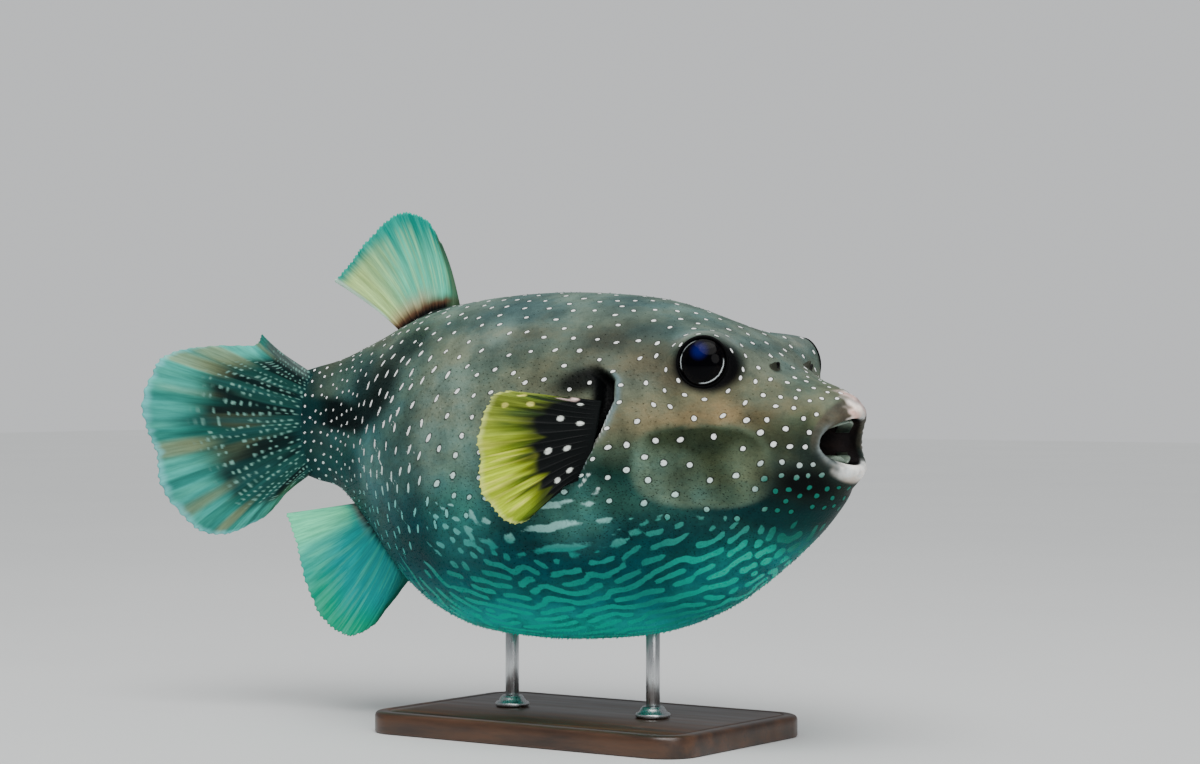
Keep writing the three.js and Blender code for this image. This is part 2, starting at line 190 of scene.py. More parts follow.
# The left eye and nostril. The right ones mirror them.
eye = {
    "at": [91.5, 39.8, 32.3], "gaze": [0.36, 0.92, 0.12], "radius": 11.8, "depth": 7.6,
    "lid": 10.9, "lidUp": 3.4, "lidThick": 0.62, "spread": 6.5,
    "bed": 2.2, "bedDeeper": 1.2,  # room between the eyeball and the skin under it
    "farSide": -17,  # skin further back than this belongs to another part of the head
}
nose = {"at": [112.5, 14.5, 31.0], "long": 2.5, "wide": 2.3, "tall": 2.9, "pit": 1.8, "around": 56}


# A point or direction of the left side, or its mirror image on the right where side is -1.
def mirrored(point, side):
    return np.array(point, float) * [1, side, 1]


# The middle of an eye, the way it looks, and the directions ahead and up across it. side is 1 on the left.
def eyeFrame(side):
    middle = mirrored(eye["at"], side)
    gaze = unit(mirrored(eye["gaze"], side))
    up = unit(np.array([0, 0, 1.0]) - gaze[2] * gaze)
    return middle, gaze, np.cross(up, gaze) * -side, up


# How far the eyeball's front stands out at some distance from its middle.
def ballHeight(radius):
    return eye["depth"] * np.sqrt(np.clip(1 - (radius / eye["radius"]) ** 2, 0, 1))


# Where points lie as seen along one eye's gaze: ahead and up across it, and height out of it.
def acrossEye(points, side):
    middle, gaze, ahead, up = eyeFrame(side)
    offset = points - middle
    return offset @ ahead, offset @ up, offset @ gaze


def eyeDistance(points):
    return np.min([np.linalg.norm(points - eyeFrame(side)[0], axis=1) for side in (-1, 1)], axis=0)


# Lifts the skin to the lid round one eye, and lowers it under the eyeball inside the lid.
def openSocket(points, side):
    middle, gaze, ahead, up = eyeFrame(side)
    a, u, height = acrossEye(points, side)
    radius = np.hypot(a, u)
    near = (height > eye["farSide"]) & (radius < eye["lid"] + eye["spread"] + 2)
    blend = smooth(eye["lid"], eye["lid"] + eye["spread"], radius) ** 0.8
    outer = eye["lidUp"] * (1 - blend) + height * blend
    drawn = np.where(np.abs(radius - eye["lid"]) < 0.36, eye["lid"], radius)
    under = ballHeight(drawn) - eye["bed"] - eye["bedDeeper"] * smooth(9, 5, radius)
    level = np.where(drawn < eye["lid"] - 0.01, under, outer)
    pull = (drawn / np.maximum(radius, 1e-6))[..., None]
    moved = middle + (a[..., None] * ahead + u[..., None] * up) * pull + level[..., None] * gaze
    return np.where(near[..., None], moved, points)


print("skin")
rowT, colAngle = np.meshgrid(bodyRows(), bodyColumns(), indexing="ij")
skin = skinAt(rowT, colAngle)
for side in (-1, 1):
    skin = openSocket(skin, side)
outward = ringNormals(skin)

# How far along the body each point is, and how far round from the keel, in millimetres.
lengthwise = np.concatenate([[0], np.cumsum(np.linalg.norm(np.diff(skin, axis=0), axis=2).mean(1))])
lengthwise = np.repeat(lengthwise[:, None], skin.shape[1], 1)
ringStep = np.linalg.norm(np.roll(skin, -1, 1) - skin, axis=2)
girth = ringStep.sum(1, keepdims=True)
aroundKeel = np.cumsum(ringStep, axis=1) - ringStep + 0.5 * ringStep[:, -1:]
aroundKeel = np.where(aroundKeel > girth / 2, aroundKeel - girth, aroundKeel)

# The gill slit ahead of each pectoral fin: its front edge as x over the height z.
gill = {"z": [-24, -20, -12, 3, 16, 25, 28, 31], "x": [34, 37.4, 44.3, 51.6, 55.6, 53.9, 50.5, 45],
        "deep": 6.5, "wide": 5.5, "flap": 1.0}
behind = np.interp(skin[..., 2], gill["z"], gill["x"]) - skin[..., 0]
slitSpan = smooth(-23, -16, skin[..., 2]) * smooth(31, 26, skin[..., 2])
slitSpan = slitSpan * smooth(30, 45, np.abs(skin[..., 1]))
slit = smooth(-0.2, 1.8, behind) * smooth(gill["wide"] + 3.5, gill["wide"], behind) * slitSpan
flap = bell(behind + 2.2, 1.5) * slitSpan
skin = skin + outward * (gill["flap"] * flap - gill["deep"] * slit)[..., None]

# Creases across the lips and a shallow furrow behind them.
lipBand = bell(rowT - lipCrest, 0.022)
crease = np.sin(23 * colAngle + 2.2 * np.sin(3 * colAngle)) + 0.6 * np.sin(41 * colAngle + 1.0)
skin = skin + outward * (0.15 * lipBand * crease - 0.5 * bell(rowT - lipRoot + 0.012, 0.009))[..., None]

# Fleshy swellings that carry the upper and the lower fin: middle, reach along, across and upright, height.
finMounds = [([-86, 0, 54], (11, 4, 12), 2.2), ([-112, 2, -50], (10, 5, 12), 2.2)]
for middle, reach, height in finMounds:
    off = (skin - bend(np.array(middle, float))) / reach
    swell = height * np.exp(-0.5 * (off[..., 0] ** 2 + off[..., 1] ** 2 + off[..., 2] ** 2))
    skin = skin + outward * swell[..., None]
outward = ringNormals(skin)

flat = skin.reshape(-1, 3)
normals = outward.reshape(-1, 3)
flatT, flatAngle = rowT.ravel(), colAngle.ravel()


# A colour given as 0 to 255, in linear light.
def paint(red, green, blue):
    c = np.array([red, green, blue], float) / 255
    return np.where(c < 0.04045, c / 12.92, ((c + 0.055) / 1.055) ** 2.4)


# Colours of the hide from the back down to the keel, by height; the belly's colours climb toward the chin.
# The belly's teal is partly the fish's own colour and partly the water's blue-green light painted in; its
# brightening toward the keel is painted light from below.
hide = {
    "levels": [(60, (88, 110, 106)), (50, (90, 108, 100)), (38, (84, 92, 80)), (26, (84, 88, 74)),
               (12, (98, 102, 84)), (-2, (84, 96, 80)), (-20, (34, 70, 66)), (-42, (1, 60, 63)),
               (-60, (1, 68, 75)), (-74, (1, 108, 112)), (-84, (2, 164, 160)), (-96, (3, 212, 200))],
    "lip": (252, 244, 240), "lipSide": (78, 73, 64), "lipRim": (122, 124, 122),
    # mouth is painted shade, near black, inside the mouth
    "eyeBlack": (3, 3, 5), "mouth": (8, 6, 7),
}
# Colours of spots and stripes: white above, teal on the belly, partly the water's blue-green light painted
# in, and brighter toward the keel as painted light from below.
paleLevels = [(0, (248, 250, 249)), (-22, (206, 238, 232)), (-36, (140, 212, 204)), (-48, (24, 146, 136)),
              (-62, (3, 148, 132)), (-76, (2, 180, 158)), (-90, (3, 234, 204))]
# Broad patches on both sides: middle x and z, half length and half height, tilt, softness, colour, strength.
sidePatches = [
    (-20, 20, 40, 24, 0, 0.7, (104, 119, 105), 0.85),  # light grey flank
    (-8, -20, 34, 16, 0, 0.7, (60, 98, 93), 0.75),
    (-14, 44, 22, 7, 6, 0.7, (106, 119, 110), 0.6),
    (50, 38, 22, 8, -8, 0.7, (78, 79, 66), 0.8),  # brown shoulder
    (44, 31, 9, 6, 0, 0.8, (92, 97, 85), 0.7),
    (64, 41, 9, 4.5, -14, 0.8, (66, 64, 52), 0.6),
    (104, 40, 6, 4, -20, 0.8, (44, 60, 60), 0.7),
    (67, -4, 5, 7, 10, 0.8, (50, 64, 48), 0.75),
    (74, 26, 14, 9, -10, 0.7, (76, 74, 62), 0.8),
    (60, 22, 14, 9, -10, 0.8, (102, 105, 90), 0.75),
    (62, 4, 12, 8, 0, 0.8, (96, 95, 77), 0.7),
    (14, 30, 16, 9, 10, 0.8, (78, 87, 75), 0.7),
    (-66, 4, 30, 34, -10, 0.7, (58, 90, 87), 0.85),  # rear flank
    (-40, 14, 14, 12, 0, 0.8, (83, 97, 86), 0.7),
    (-36, -16, 14, 10, 0, 0.8, (46, 82, 80), 0.6),
    (-88, -26, 26, 24, 20, 0.7, (58, 98, 98), 0.85),
    (-118, 0, 34, 30, 0, 0.6, (38, 84, 84), 0.85),
    (-118, 32, 24, 7, 12, 0.6, (54, 86, 82), 0.8),
    (-131, 8.5, 36, 8, -5, 0.35, (1, 12, 15), 0.98),  # dark band from the tail stalk up to the upper fin
    (-99, 10, 18, 8, 16, 0.5, (4, 17, 19), 0.93),
    (-104, 20, 12, 12, -50, 0.7, (14, 38, 38), 0.8),
    (-85, 23, 13, 14, -20, 0.6, (6, 20, 19), 0.9),
    (-72, 42, 13, 8, 16, 0.6, (26, 42, 39), 0.85),
    (-128, -18, 20, 10, 0, 0.6, (14, 70, 72), 0.6),
    (-160, 4, 15, 44, 0, 0.7, (9, 50, 52), 0.95),
    (-92, -16, 14, 14, 24, 0.6, (88, 136, 136), 0.7),
    (-58, -48, 16, 14, 20, 0.8, (1, 62, 68), 0.85),
    (-30, 54, 18, 6, 8, 0.8, (60, 82, 83), 0.8),  # cloudy patches of the back
    (0, 54, 14, 4, 4, 0.8, (58, 76, 76), 0.7),
    (38, 57, 13, 5, -8, 0.8, (56, 74, 74), 0.8),
    (53, 47, 13, 4, -14, 0.8, (56, 68, 64), 0.75),
    (36, 46, 10, 4, 10, 0.8, (68, 76, 68), 0.6),
    (70, 49, 11, 5, -14, 0.8, (64, 84, 83), 0.7),
    (-48, 50, 12, 5, 14, 0.8, (62, 82, 80), 0.6),
    (-4, 40, 12, 5, 30, 0.9, (74, 80, 70), 0.6),
    (-34, 34, 14, 5, 24, 0.9, (78, 92, 84), 0.5),
    (24, 24, 12, 6, -30, 0.9, (74, 78, 64), 0.6),
    (-32, 8, 15, 26, 0, 0.8, (116, 130, 117), 0.7),
    (-22, -12, 17, 17, 0, 0.8, (102, 130, 120), 0.8),
    (-22, -36, 17, 17, 0, 0.8, (46, 122, 118), 0.75),
    (38, -33, 14, 13, 20, 0.8, (72, 130, 124), 0.7),
    (2, 8, 12, 6, 0, 0.9, (84, 94, 82), 0.5),
    (90, 11.5, 46, 8.5, 2, 0.5, (106, 103, 80), 0.92),  # tan band under the eye
    (98, 11, 20, 5.5, 4, 0.7, (124, 111, 84), 0.7),
    (66, 14, 14, 7, -14, 0.7, (112, 109, 88), 0.7),
    (112, 22, 12, 7, -20, 0.7, (108, 110, 90), 0.75),
    (122, 16, 12, 7, -10, 0.6, (98, 100, 82), 0.8),
    (116, 8, 7, 4.5, -20, 0.8, (62, 58, 40), 0.8),
    (119, 0, 7, 6, 0, 0.7, (56, 62, 46), 0.75),
    (135, 10, 6, 6, 0, 0.7, (106, 112, 94), 0.7),
    (92, 46, 12, 6, -14, 0.7, (88, 104, 100), 0.7),
    (44, 42, 14, 4, -6, 0.8, (62, 66, 58), 0.7),
    (10, 46, 12, 4, 8, 0.8, (66, 72, 64), 0.6),
    (112, 32, 14, 6, -20, 0.7, (84, 99, 94), 0.75),
    (129, 22, 10, 6, -30, 0.7, (88, 102, 90), 0.7),
    (130, 4, 8, 8, 0, 0.6, (72, 80, 60), 0.85),
    (125, -1, 8, 7, 0, 0.6, (50, 58, 44), 0.85),
    (134, -5, 6, 7, 0, 0.6, (34, 44, 38), 0.85),
    (116, -32, 22, 9, -14, 0.6, (2, 42, 44), 0.9),
    (56, -18, 14, 12, 20, 0.8, (8, 46, 40), 0.95),
    (66, -26, 12, 8, 0, 0.8, (40, 80, 75), 0.6),
    (46, -25, 9, 6, 20, 0.8, (54, 98, 92), 0.6),
    (60, -4, 8, 7, 20, 0.8, (66, 82, 68), 0.6),
]
cheek = {"at": (92.5, -12.4), "half": (27, 17.6), "square": 2.8,
         "left": (90, 114, 100), "right": (92, 106, 86), "dark": (38, 48, 32), "lower": (50, 74, 62)}
# Pale blurred bars below the pectoral fin: middle x and z, half length, half thickness, tilt.
bars = [(31, -29.5, 10, 1.4, 14), (28, -39.5, 14, 1.8, 9), (30, -49, 14, 1.7, 7), (46, -29, 3.2, 1.1, 25),
        (52, -36, 3.6, 1.3, 6), (45, -19, 4.6, 0.8, 48), (50, -23, 2.4, 0.9, 40), (64, -41, 2.8, 1.2, 6),
        (56, -45.5, 2.8, 1.2, 24), (6, -45, 3.0, 2.2, 0), (-5, -38, 2.6, 1.5, -20), (-12, -36, 3.4, 1.3, -64),
        (-16, -44, 4.2, 1.5, -58), (-5, -48, 3.6, 1.5, -16)]


# Distances along and across a direction that is tilted by so many degrees.
def tilted(du, dv, tilt):
    c, s = math.cos(math.radians(tilt)), math.sin(math.radians(tilt))
    return du * c + dv * s, dv * c - du * s


# How much of a tilted oval covers each point, from its middle and half sizes.
def oval(u, v, middle, half, tilt=0, softness=0.3, square=2.0):
    p, q = tilted(u - middle[0], v - middle[1], tilt)
    p, q = np.abs(p) / half[0], np.abs(q) / half[1]
    return smooth(1 + softness, 1 - softness, (p ** square + q ** square) ** (1 / square))


def cheekOval(x, z):
    return oval(x, z, cheek["at"], cheek["half"], 0, 0.1, cheek["square"])


# Lays a colour over the colours of all points, by an amount for each.
def blendIn(base, colour, amount):
    return base * (1 - amount[:, None]) + paint(*colour) * amount[:, None]


# Colours between those of a list of (height, colour) that goes downward.
def shadeByHeight(levels, height):
    heights = [level for level, colour in levels][::-1]
    shades = np.array([paint(*colour) for level, colour in levels])[::-1]
    return np.stack([np.interp(height, heights, shade) for shade in shades.T], -1)


# The height that the belly's colours and stripes go by.
def underLevel(x, z):
    return z + 0.1 * np.clip(x - 40, 0, None) * smooth(0, -24, z)


# Painted light from below: the keel is bright right up to the chin.
def paintedUnderlight():
    x, y, z = flat.T
    under = smooth(66, 24, np.abs(aroundKeel.ravel()))
    return under * smooth(50, 92, x) * smooth(136, 116, x) * smooth(-37, -54, z)


def hideColour():
    x, y, z = flat.T
    base = shadeByHeight(hide["levels"], underLevel(x, z))
    for px, pz, rx, rz, tilt, soft, colour, strength in sidePatches:
        base = blendIn(base, colour, strength * oval(x, z, (px, pz), (rx, rz), tilt, soft))
    # The cheek patch is pale at both ends, dark in the middle, and ends sharply along its top; its bottom is
    # darkened as painted shade.
    onSide = smooth(20, 26, np.abs(y))
    top = cheek["at"][1] + cheek["half"][1]
    edge = cheekOval(x, z) * onSide
    edge = edge * smooth(top + 0.9, top - 0.3, z - 0.5 * np.sin(x / 5.0) - 0.3 * np.sin(x / 2.1))
    streaks = (0.8 * smooth(-11, 3, z) * smooth(64, 70, x) + 0.85 * bell(x - 93, 8.5) * smooth(-30, -15, z)
               + 0.2 * bell(x - 74, 3) + 0.2 * bell(x - 104, 3) + 0.15 * np.sin(x / 2.9 + z / 9))
    base = blendIn(base, cheek["left"], edge)
    base = blendIn(base, cheek["right"], edge * smooth(92, 100, x))
    base = blendIn(base, cheek["dark"], edge * np.clip(streaks, 0, 0.95))
    # painted shade along the bottom of the cheek patch
    base = blendIn(base, cheek["lower"], 0.5 * edge * smooth(-17, -24, z) * bell(x - 101, 9))
    base = blendIn(base, (1, 3, 5), 0.98 * oval(x, z, (130, -20), (14.5, 10), -8, 0.75))  # dark chin
    # painted light from below on the keel
    return blendIn(base, (1, 116, 116), 0.85 * paintedUnderlight())


# The surrounds of eyes, nostrils, gills and fins, and the lips.
def addDetails(base):
    x, y, z = flat.T
    for side in (-1, 1):
        a, u, height = acrossEye(flat, side)
        out = smooth(-16, -8, height)
        radius = np.hypot(a, u)
        brow = 0.6 * out * bell(radius - 15.5, 2.4) * smooth(4, 12, u)
        base = blendIn(base, (118, 130, 126), brow)
        if side < 0:
            dark = oval(a, u, (1.6, -1.4), (15.4, 12.2), -8, 0.18)
        else:
            dark = oval(a, u, (0.8, -1.6), (12.0, 10.6), 0, 0.1)
        base = blendIn(base, hide["eyeBlack"], out * np.maximum(dark, smooth(11.4, 10.6, radius)))
        noseOff = np.linalg.norm(flat - mirrored(nose["at"], side), axis=1)
        # painted shade round the root of the nostril flaps
        base = blendIn(base, (14, 15, 13), 0.8 * smooth(3.6, 2.2, noseOff))
    # Pale edge of the gill cover, with a painted white glint along it; black behind it, painted shade inside
    # the slit, and above the root of the pectoral fin.
    ahead = -behind.ravel()
    span = slitSpan.ravel()
    base = blendIn(base, (112, 136, 144), 0.55 * span * bell(ahead - 1.7, 0.9) * smooth(-6, 6, z))
    base = blendIn(base, (226, 236, 242), 0.9 * span * bell(ahead - 0.15, 0.3) * smooth(20, 10, z))
    base = blendIn(base, (2, 3, 4), span * smooth(-0.1, -0.6, ahead) * smooth(-13, -8, ahead))
    above = smooth(36, 46, np.abs(y)) * oval(x, z, (40, 25), (14, 6), 14, 0.5) * smooth(1.0, -0.6, ahead)
    base = blendIn(base, (3, 4, 5), 0.94 * above)
    # Black where each fin grows out of the body.
    for middle, reach in (((-86, -1, 56), 13), ((-114, 2, -50), 11)):
        off = np.linalg.norm((flat - bend(np.array(middle, float))) * [1, 1.6, 1.2], axis=1)
        base = blendIn(base, (8, 11, 11), 0.94 * smooth(reach + 6, reach - 4, off))
    # Lips: pale pink in front, the colour of the hide toward the corners; painted shade, near black, inside
    # the mouth.
    c, s = np.cos(flatAngle), np.sin(flatAngle)
    lipped = smooth(lipRoot + 0.004, lipRoot + 0.022, flatT)
    lipped = lipped * smooth(lipInside + 0.02, lipInside + 0.006, flatT)
    # the white runs wide below and stays in front above
    uneven = 0.05 * np.sin(23 * flatAngle + 110 * flatT) + 0.04 * np.sin(190 * flatT)
    frontAbove = smooth(0.47, 0.24, np.abs(c) + uneven + 2.5 * np.clip(lipCrest - flatT, 0, 0.1))
    frontBelow = smooth(0.76, 0.44, np.abs(c) + 0.5 * uneven) * smooth(lipRoot + 0.01, lipRoot + 0.036, flatT)
    front = np.where(s > 0, frontAbove, frontBelow)
    base = blendIn(base, hide["lipSide"], 0.85 * lipped * smooth(-0.5, 0.3, s))
    base = blendIn(base, (30, 38, 36), 0.8 * lipped * smooth(0.1, -0.5, s))
    corners = 0.85 * lipped * bell(flatT - lipCrest - 0.012, 0.012) * smooth(0.7, 0.95, np.abs(c))
    base = blendIn(base, hide["lipRim"], corners)
    lowerRim = 0.85 * lipped * bell(flatT - lipCrest - 0.006, 0.014) * smooth(0.2, -0.2, s)
    base = blendIn(base, hide["lipRim"], lowerRim)
    white = np.where(s > 0, smooth(lipRoot - 0.034, lipRoot - 0.008, flatT + 0.03 * np.abs(c)), lipped)
    white = white * (flatT < lipInside + 0.014) * front
    base = blendIn(base, hide["lip"], white)
    lowerEdge = 0.75 * white * (s < 0) * smooth(lipCrest - 0.004, lipRoot + 0.012, flatT)
    base = blendIn(base, (190, 164, 140), lowerEdge)
    pink = 0.5 + 0.5 * np.sin(9 * flatAngle + 60 * flatT)
    base = blendIn(base, (206, 150, 142), 0.7 * white * (s > 0) * pink)
    fold = bell(flatT - lipRoot - 0.012 + 0.02 * np.sin(7 * flatAngle), 0.008)
    base = blendIn(base, (112, 88, 84), 0.5 * white * (s > 0) * fold)
    base = blendIn(base, (52, 44, 40), 0.5 * lipped * (s > 0) * bell(np.abs(c) - 0.52, 0.07))
    # a row of tiny pale dots near each upper corner
    for spot in np.radians([126, 130, 134, 138, 142, 147]):
        for turn in (spot, math.pi - spot):
            off = np.hypot((flatAngle - turn) * 34, (flatT - lipCrest + 0.008) * 420)
            base = blendIn(base, (236, 232, 228), 0.9 * smooth(0.75, 0.4, off))
    # painted shade inside the mouth
    base = blendIn(base, hide["mouth"], smooth(lipInside + 0.002, lipInside + 0.014, flatT))
    lining = 0.8 * smooth(0.35, 0.7, np.abs(c)) * bell(flatT - lipInside - 0.06, 0.03)
    base = blendIn(base, (74, 64, 64), lining)
    return base


# Belly markings: a random field filtered again and again to one pitch until it settles. It runs along
# the body in the middle, steeply at the rear, and breaks into ovals toward the chin and the flanks.
stripes = {
    "pitch": 6.0, "rearPitch": 7.4,  # millimetres from stripe to stripe
    "size": (400, 256), "rounds": 26, "blur": 0.42, "gain": 1.9, "bias": -0.2,
    "cutEvery": 76, "cutSize": 1.5,
    "rise": math.radians(6), "frontRise": math.radians(-32), "sway": 0.12, "steep": math.radians(-58),
    "heights": [-95, -60, -48, -40, -33, -27, -20],  # how strong the field has to be to show, by height
    "levels": [-0.15, 0.05, 0.25, 0.45, 0.8, 1.9, 4],
}


def settleStripes():
    count, breadth = stripes["size"]
    ks, kw = np.fft.fftfreq(count)[:, None], np.fft.fftfreq(breadth)[None]
    k = np.hypot(ks, kw) + 1e-9
    ring, rearRing = (np.exp(-0.5 * ((k * stripes[key] - 1) / stripes["blur"]) ** 2)
                      for key in ("pitch", "rearPitch"))
    u = np.arange(count)[:, None]
    v = np.arange(breadth)[None] - breadth / 2
    reach = np.interp(u, lengthwise[:, 0], skinAt(rowT[:, 0], -1.2)[:, 0])
    rear = smooth(-20, -56, reach) + 0.0 * v
    ovals = np.clip(smooth(66, 108, reach) + 0.8 * smooth(56, 74, np.abs(v)) * (1 - rear), 0, 0.9)
    front = smooth(30, 84, reach)
    sway = np.sin(u / 19 + 1.5 * np.sin(v / 15))
    layers = []
    for side in (1, -1):
        here = smooth(-8, 8, v * side)
        leans = []
        for key, part in (("rise", 1 - front), ("frontRise", front)):
            for way in (1, -1):
                weight = part * (1 - rear) * (1 - ovals) * (0.5 + 0.5 * way * sway)
                leans.append((stripes[key] + stripes["sway"] * way, ring, weight))
        leans.append((stripes["steep"], rearRing, rear * (1 - ovals)))
        for lean, band, weight in leans:
            across = np.abs(kw * math.cos(lean) - ks * side * math.sin(lean)) / k
            layers.append((band * across ** 0.9, here * weight))
    layers.append((ring * 0.8, ovals + 0.0 * v))
    # Dark cuts scattered over the belly end the bars.
    cuts = (chance.random((count, breadth)) < (1 + 2 * rear) / stripes["cutEvery"]).astype(float)
    size = stripes["cutSize"]
    softened = np.fft.fft2(cuts) * 2 * math.pi * size ** 2 * np.exp(-2 * (math.pi * size * k) ** 2)
    cuts = np.real(np.fft.ifft2(softened))
    field = chance.standard_normal((count, breadth))
    for _ in range(stripes["rounds"]):
        spectrum = np.fft.fft2(field)
        field = sum(weight * np.real(np.fft.ifft2(spectrum * band)) for band, weight in layers)
        field = field / field.std()
        last = field
        field = np.tanh(stripes["gain"] * field + stripes["bias"] - 0.4 * ovals - 3.2 * cuts)
    return last - 0.9 * cuts


# Values between the points of a grid.
def sampleGrid(grid, u, v):
    i = np.clip(u.astype(int), 0, grid.shape[0] - 2)
    j = np.clip(v.astype(int), 0, grid.shape[1] - 2)
    a, b = np.clip(u - i, 0, 1), np.clip(v - j, 0, 1)
    return (grid[i, j] * (1 - a) * (1 - b) + grid[i + 1, j] * a * (1 - b) + grid[i, j + 1] * (1 - a) * b
            + grid[i + 1, j + 1] * a * b)


# How deep each point lies in a stripe or bar, above 0 where it is pale.
def stripeMarks():
    field = settleStripes()
    breadth = stripes["size"][1]
    x, y, z = flat.T
    u = lengthwise.ravel() + 4 * np.sin(y / 17)
    v = aroundKeel.ravel() + breadth / 2
    value = sampleGrid(field, u, np.clip(v, 0, breadth - 1.01))
    level = np.interp(underLevel(x, z), stripes["heights"], stripes["levels"])
    level = level - 0.7 * smooth(94, 112, x) * smooth(-33, -42, z)
    level = level + 0.35 * smooth(-20, -50, x) * smooth(-86, -50, z)
    level = level + 1.6 * smooth(-36, -52, x) * smooth(-64, -54, z)
    # nothing but the pale bars right below the pectoral fin
    level = level + 1.6 * oval(x, z, (24, -38), (36, 17), 0, 0.4)
    inside = np.abs(v - breadth / 2) < breadth / 2 - 3
    value = np.where(inside & (flatT < lipRoot - 0.03), value - level - 3 * cheekOval(x, z), -3)
    for px, pz, long, thick, tilt in bars:
        wavy = z - pz + 0.45 * np.sin(x / 2.7 + pz) + 0.12 * np.sin(x / 1.1 + 2 * pz)
        down, across = tilted(x - px, wavy, tilt)
        far = np.hypot(down / long, across / thick) + 9 * (np.abs(y) < 30)
        value = np.maximum(value, 0.8 * thick * np.clip(1 - far, -3, 1))
    return value


# White spots: some are placed one by one, the others at random with a wanted distance.
spots = {
    "roomy": 10.6, "tries": 26000,
    "eyeRings": {13.0: [25, 66, 104, 143, 216],  # radius round the eye, and degrees
                 16.8: [-9, 16, 34, 61, 90, 127, 150, 192, 243, 274, 311, 338]},
    "gillHeights": [28.5, 22.5, 16, 3.5, -8.5, -16.5],
    "placedHalf": (1.15, 0.7),  # half length and half width of the spots at eyes and gills
    # spots reach down to lowestZ; backZ is the height of the back, where they stand closer
    "lowestX": [-163, -120, -60, -34, 40, 66, 119, 126, 147],
    "lowestZ": [-40, -50, -56, -42, -24, -36, -35, -33, -30],
    "backX": [-163, -90, 12, 95, 147], "backZ": [29, 55, 65, 43, 12],
}


# Wanted distance between spots at points of the hide.
def spotGap(points):
    x, y, z = points.T
    gap = spots["roomy"] - 1.7 * smooth(58, 44, x)
    top = smooth(0.75, 1.0, z / np.interp(x, spots["backX"], spots["backZ"]))
    gap = gap + (8.0 - gap) * top - 2.4 * oval(x, z, (63, -8), (12, 20), 0, 0.5)
    gap = gap + (7.4 - gap) * smooth(34, 22, eyeDistance(points))
    gap = gap + (5.0 + 1.6 * bell(z + 2, 7) - gap) * smooth(106, 120, x)
    gap = gap + (7.0 - gap) * smooth(-30, -70, x)
    return gap + (4.6 - gap) * smooth(-95, -130, x)


# Half length and half width of spots.
def spotSize(points):
    x, y, z = points.T
    low = smooth(20, -4, z)
    rearFlank = 0.95 * smooth(-10, -50, x) * smooth(-112, -94, x) * smooth(44, 24, z)
    long = 1.12 + 0.22 * low - 0.2 * smooth(112, 124, x) + rearFlank - 0.4 * smooth(-92, -118, x)
    wide = 0.82 + 0.28 * low * (x > -40) - 0.1 * smooth(112, 124, x)
    return long, wide + 0.02 * smooth(-40, -75, x) - 0.24 * smooth(-88, -112, x)


# Points of the hide that carry a spot, and how many of them are placed one by one.
def placeSpots():
    taken = []
    for side in (-1, 1):
        a, u, height = acrossEye(flat, side)
        for radius, turns in spots["eyeRings"].items():
            for turn in np.radians(turns):
                far = np.hypot(a - radius * np.cos(turn), u - radius * np.sin(turn)) + 40 * (height < -16)
                taken.append(np.argmin(far))
        # a few spots along the front edge of the gill slit
        for k, level in enumerate(spots["gillHeights"]):
            edge = np.interp(level, gill["z"], gill["x"]) + 2.6 + 0.5 * (k % 2)
            far = np.hypot(flat[:, 0] - edge, flat[:, 2] - level) + 50 * (flat[:, 1] * side < 20)
            taken.append(np.argmin(far))
    placedCount = len(taken)
    gap = spotGap(flat)
    x, y, z = flat.T
    clear = np.interp(np.abs(behind.ravel()), [0, 6, 7], [0, 0, 1]) + (slitSpan.ravel() < 0.05)
    lowest = np.interp(x, spots["lowestX"], spots["lowestZ"])
    allowed = (z > lowest) & (flatT < lipRoot + 0.004) & (clear > 0.5)
    for side in (-1, 1):
        a, u, height = acrossEye(flat, side)
        allowed &= ~((np.hypot(a, u) < 17.5) & (height > eye["farSide"]))
        allowed &= np.linalg.norm(flat - mirrored(nose["at"], side), axis=1) > 4.6
    order = chance.permutation(np.flatnonzero(allowed))[:spots["tries"]]
    chosen = flat[taken]
    for k in order:
        if np.min(np.sum((chosen - flat[k]) ** 2, axis=1)) > gap[k] ** 2:
            chosen = np.vstack([chosen, flat[k]])
            taken.append(k)
    print("  white spots:", len(taken))
    return np.array(taken), placedCount


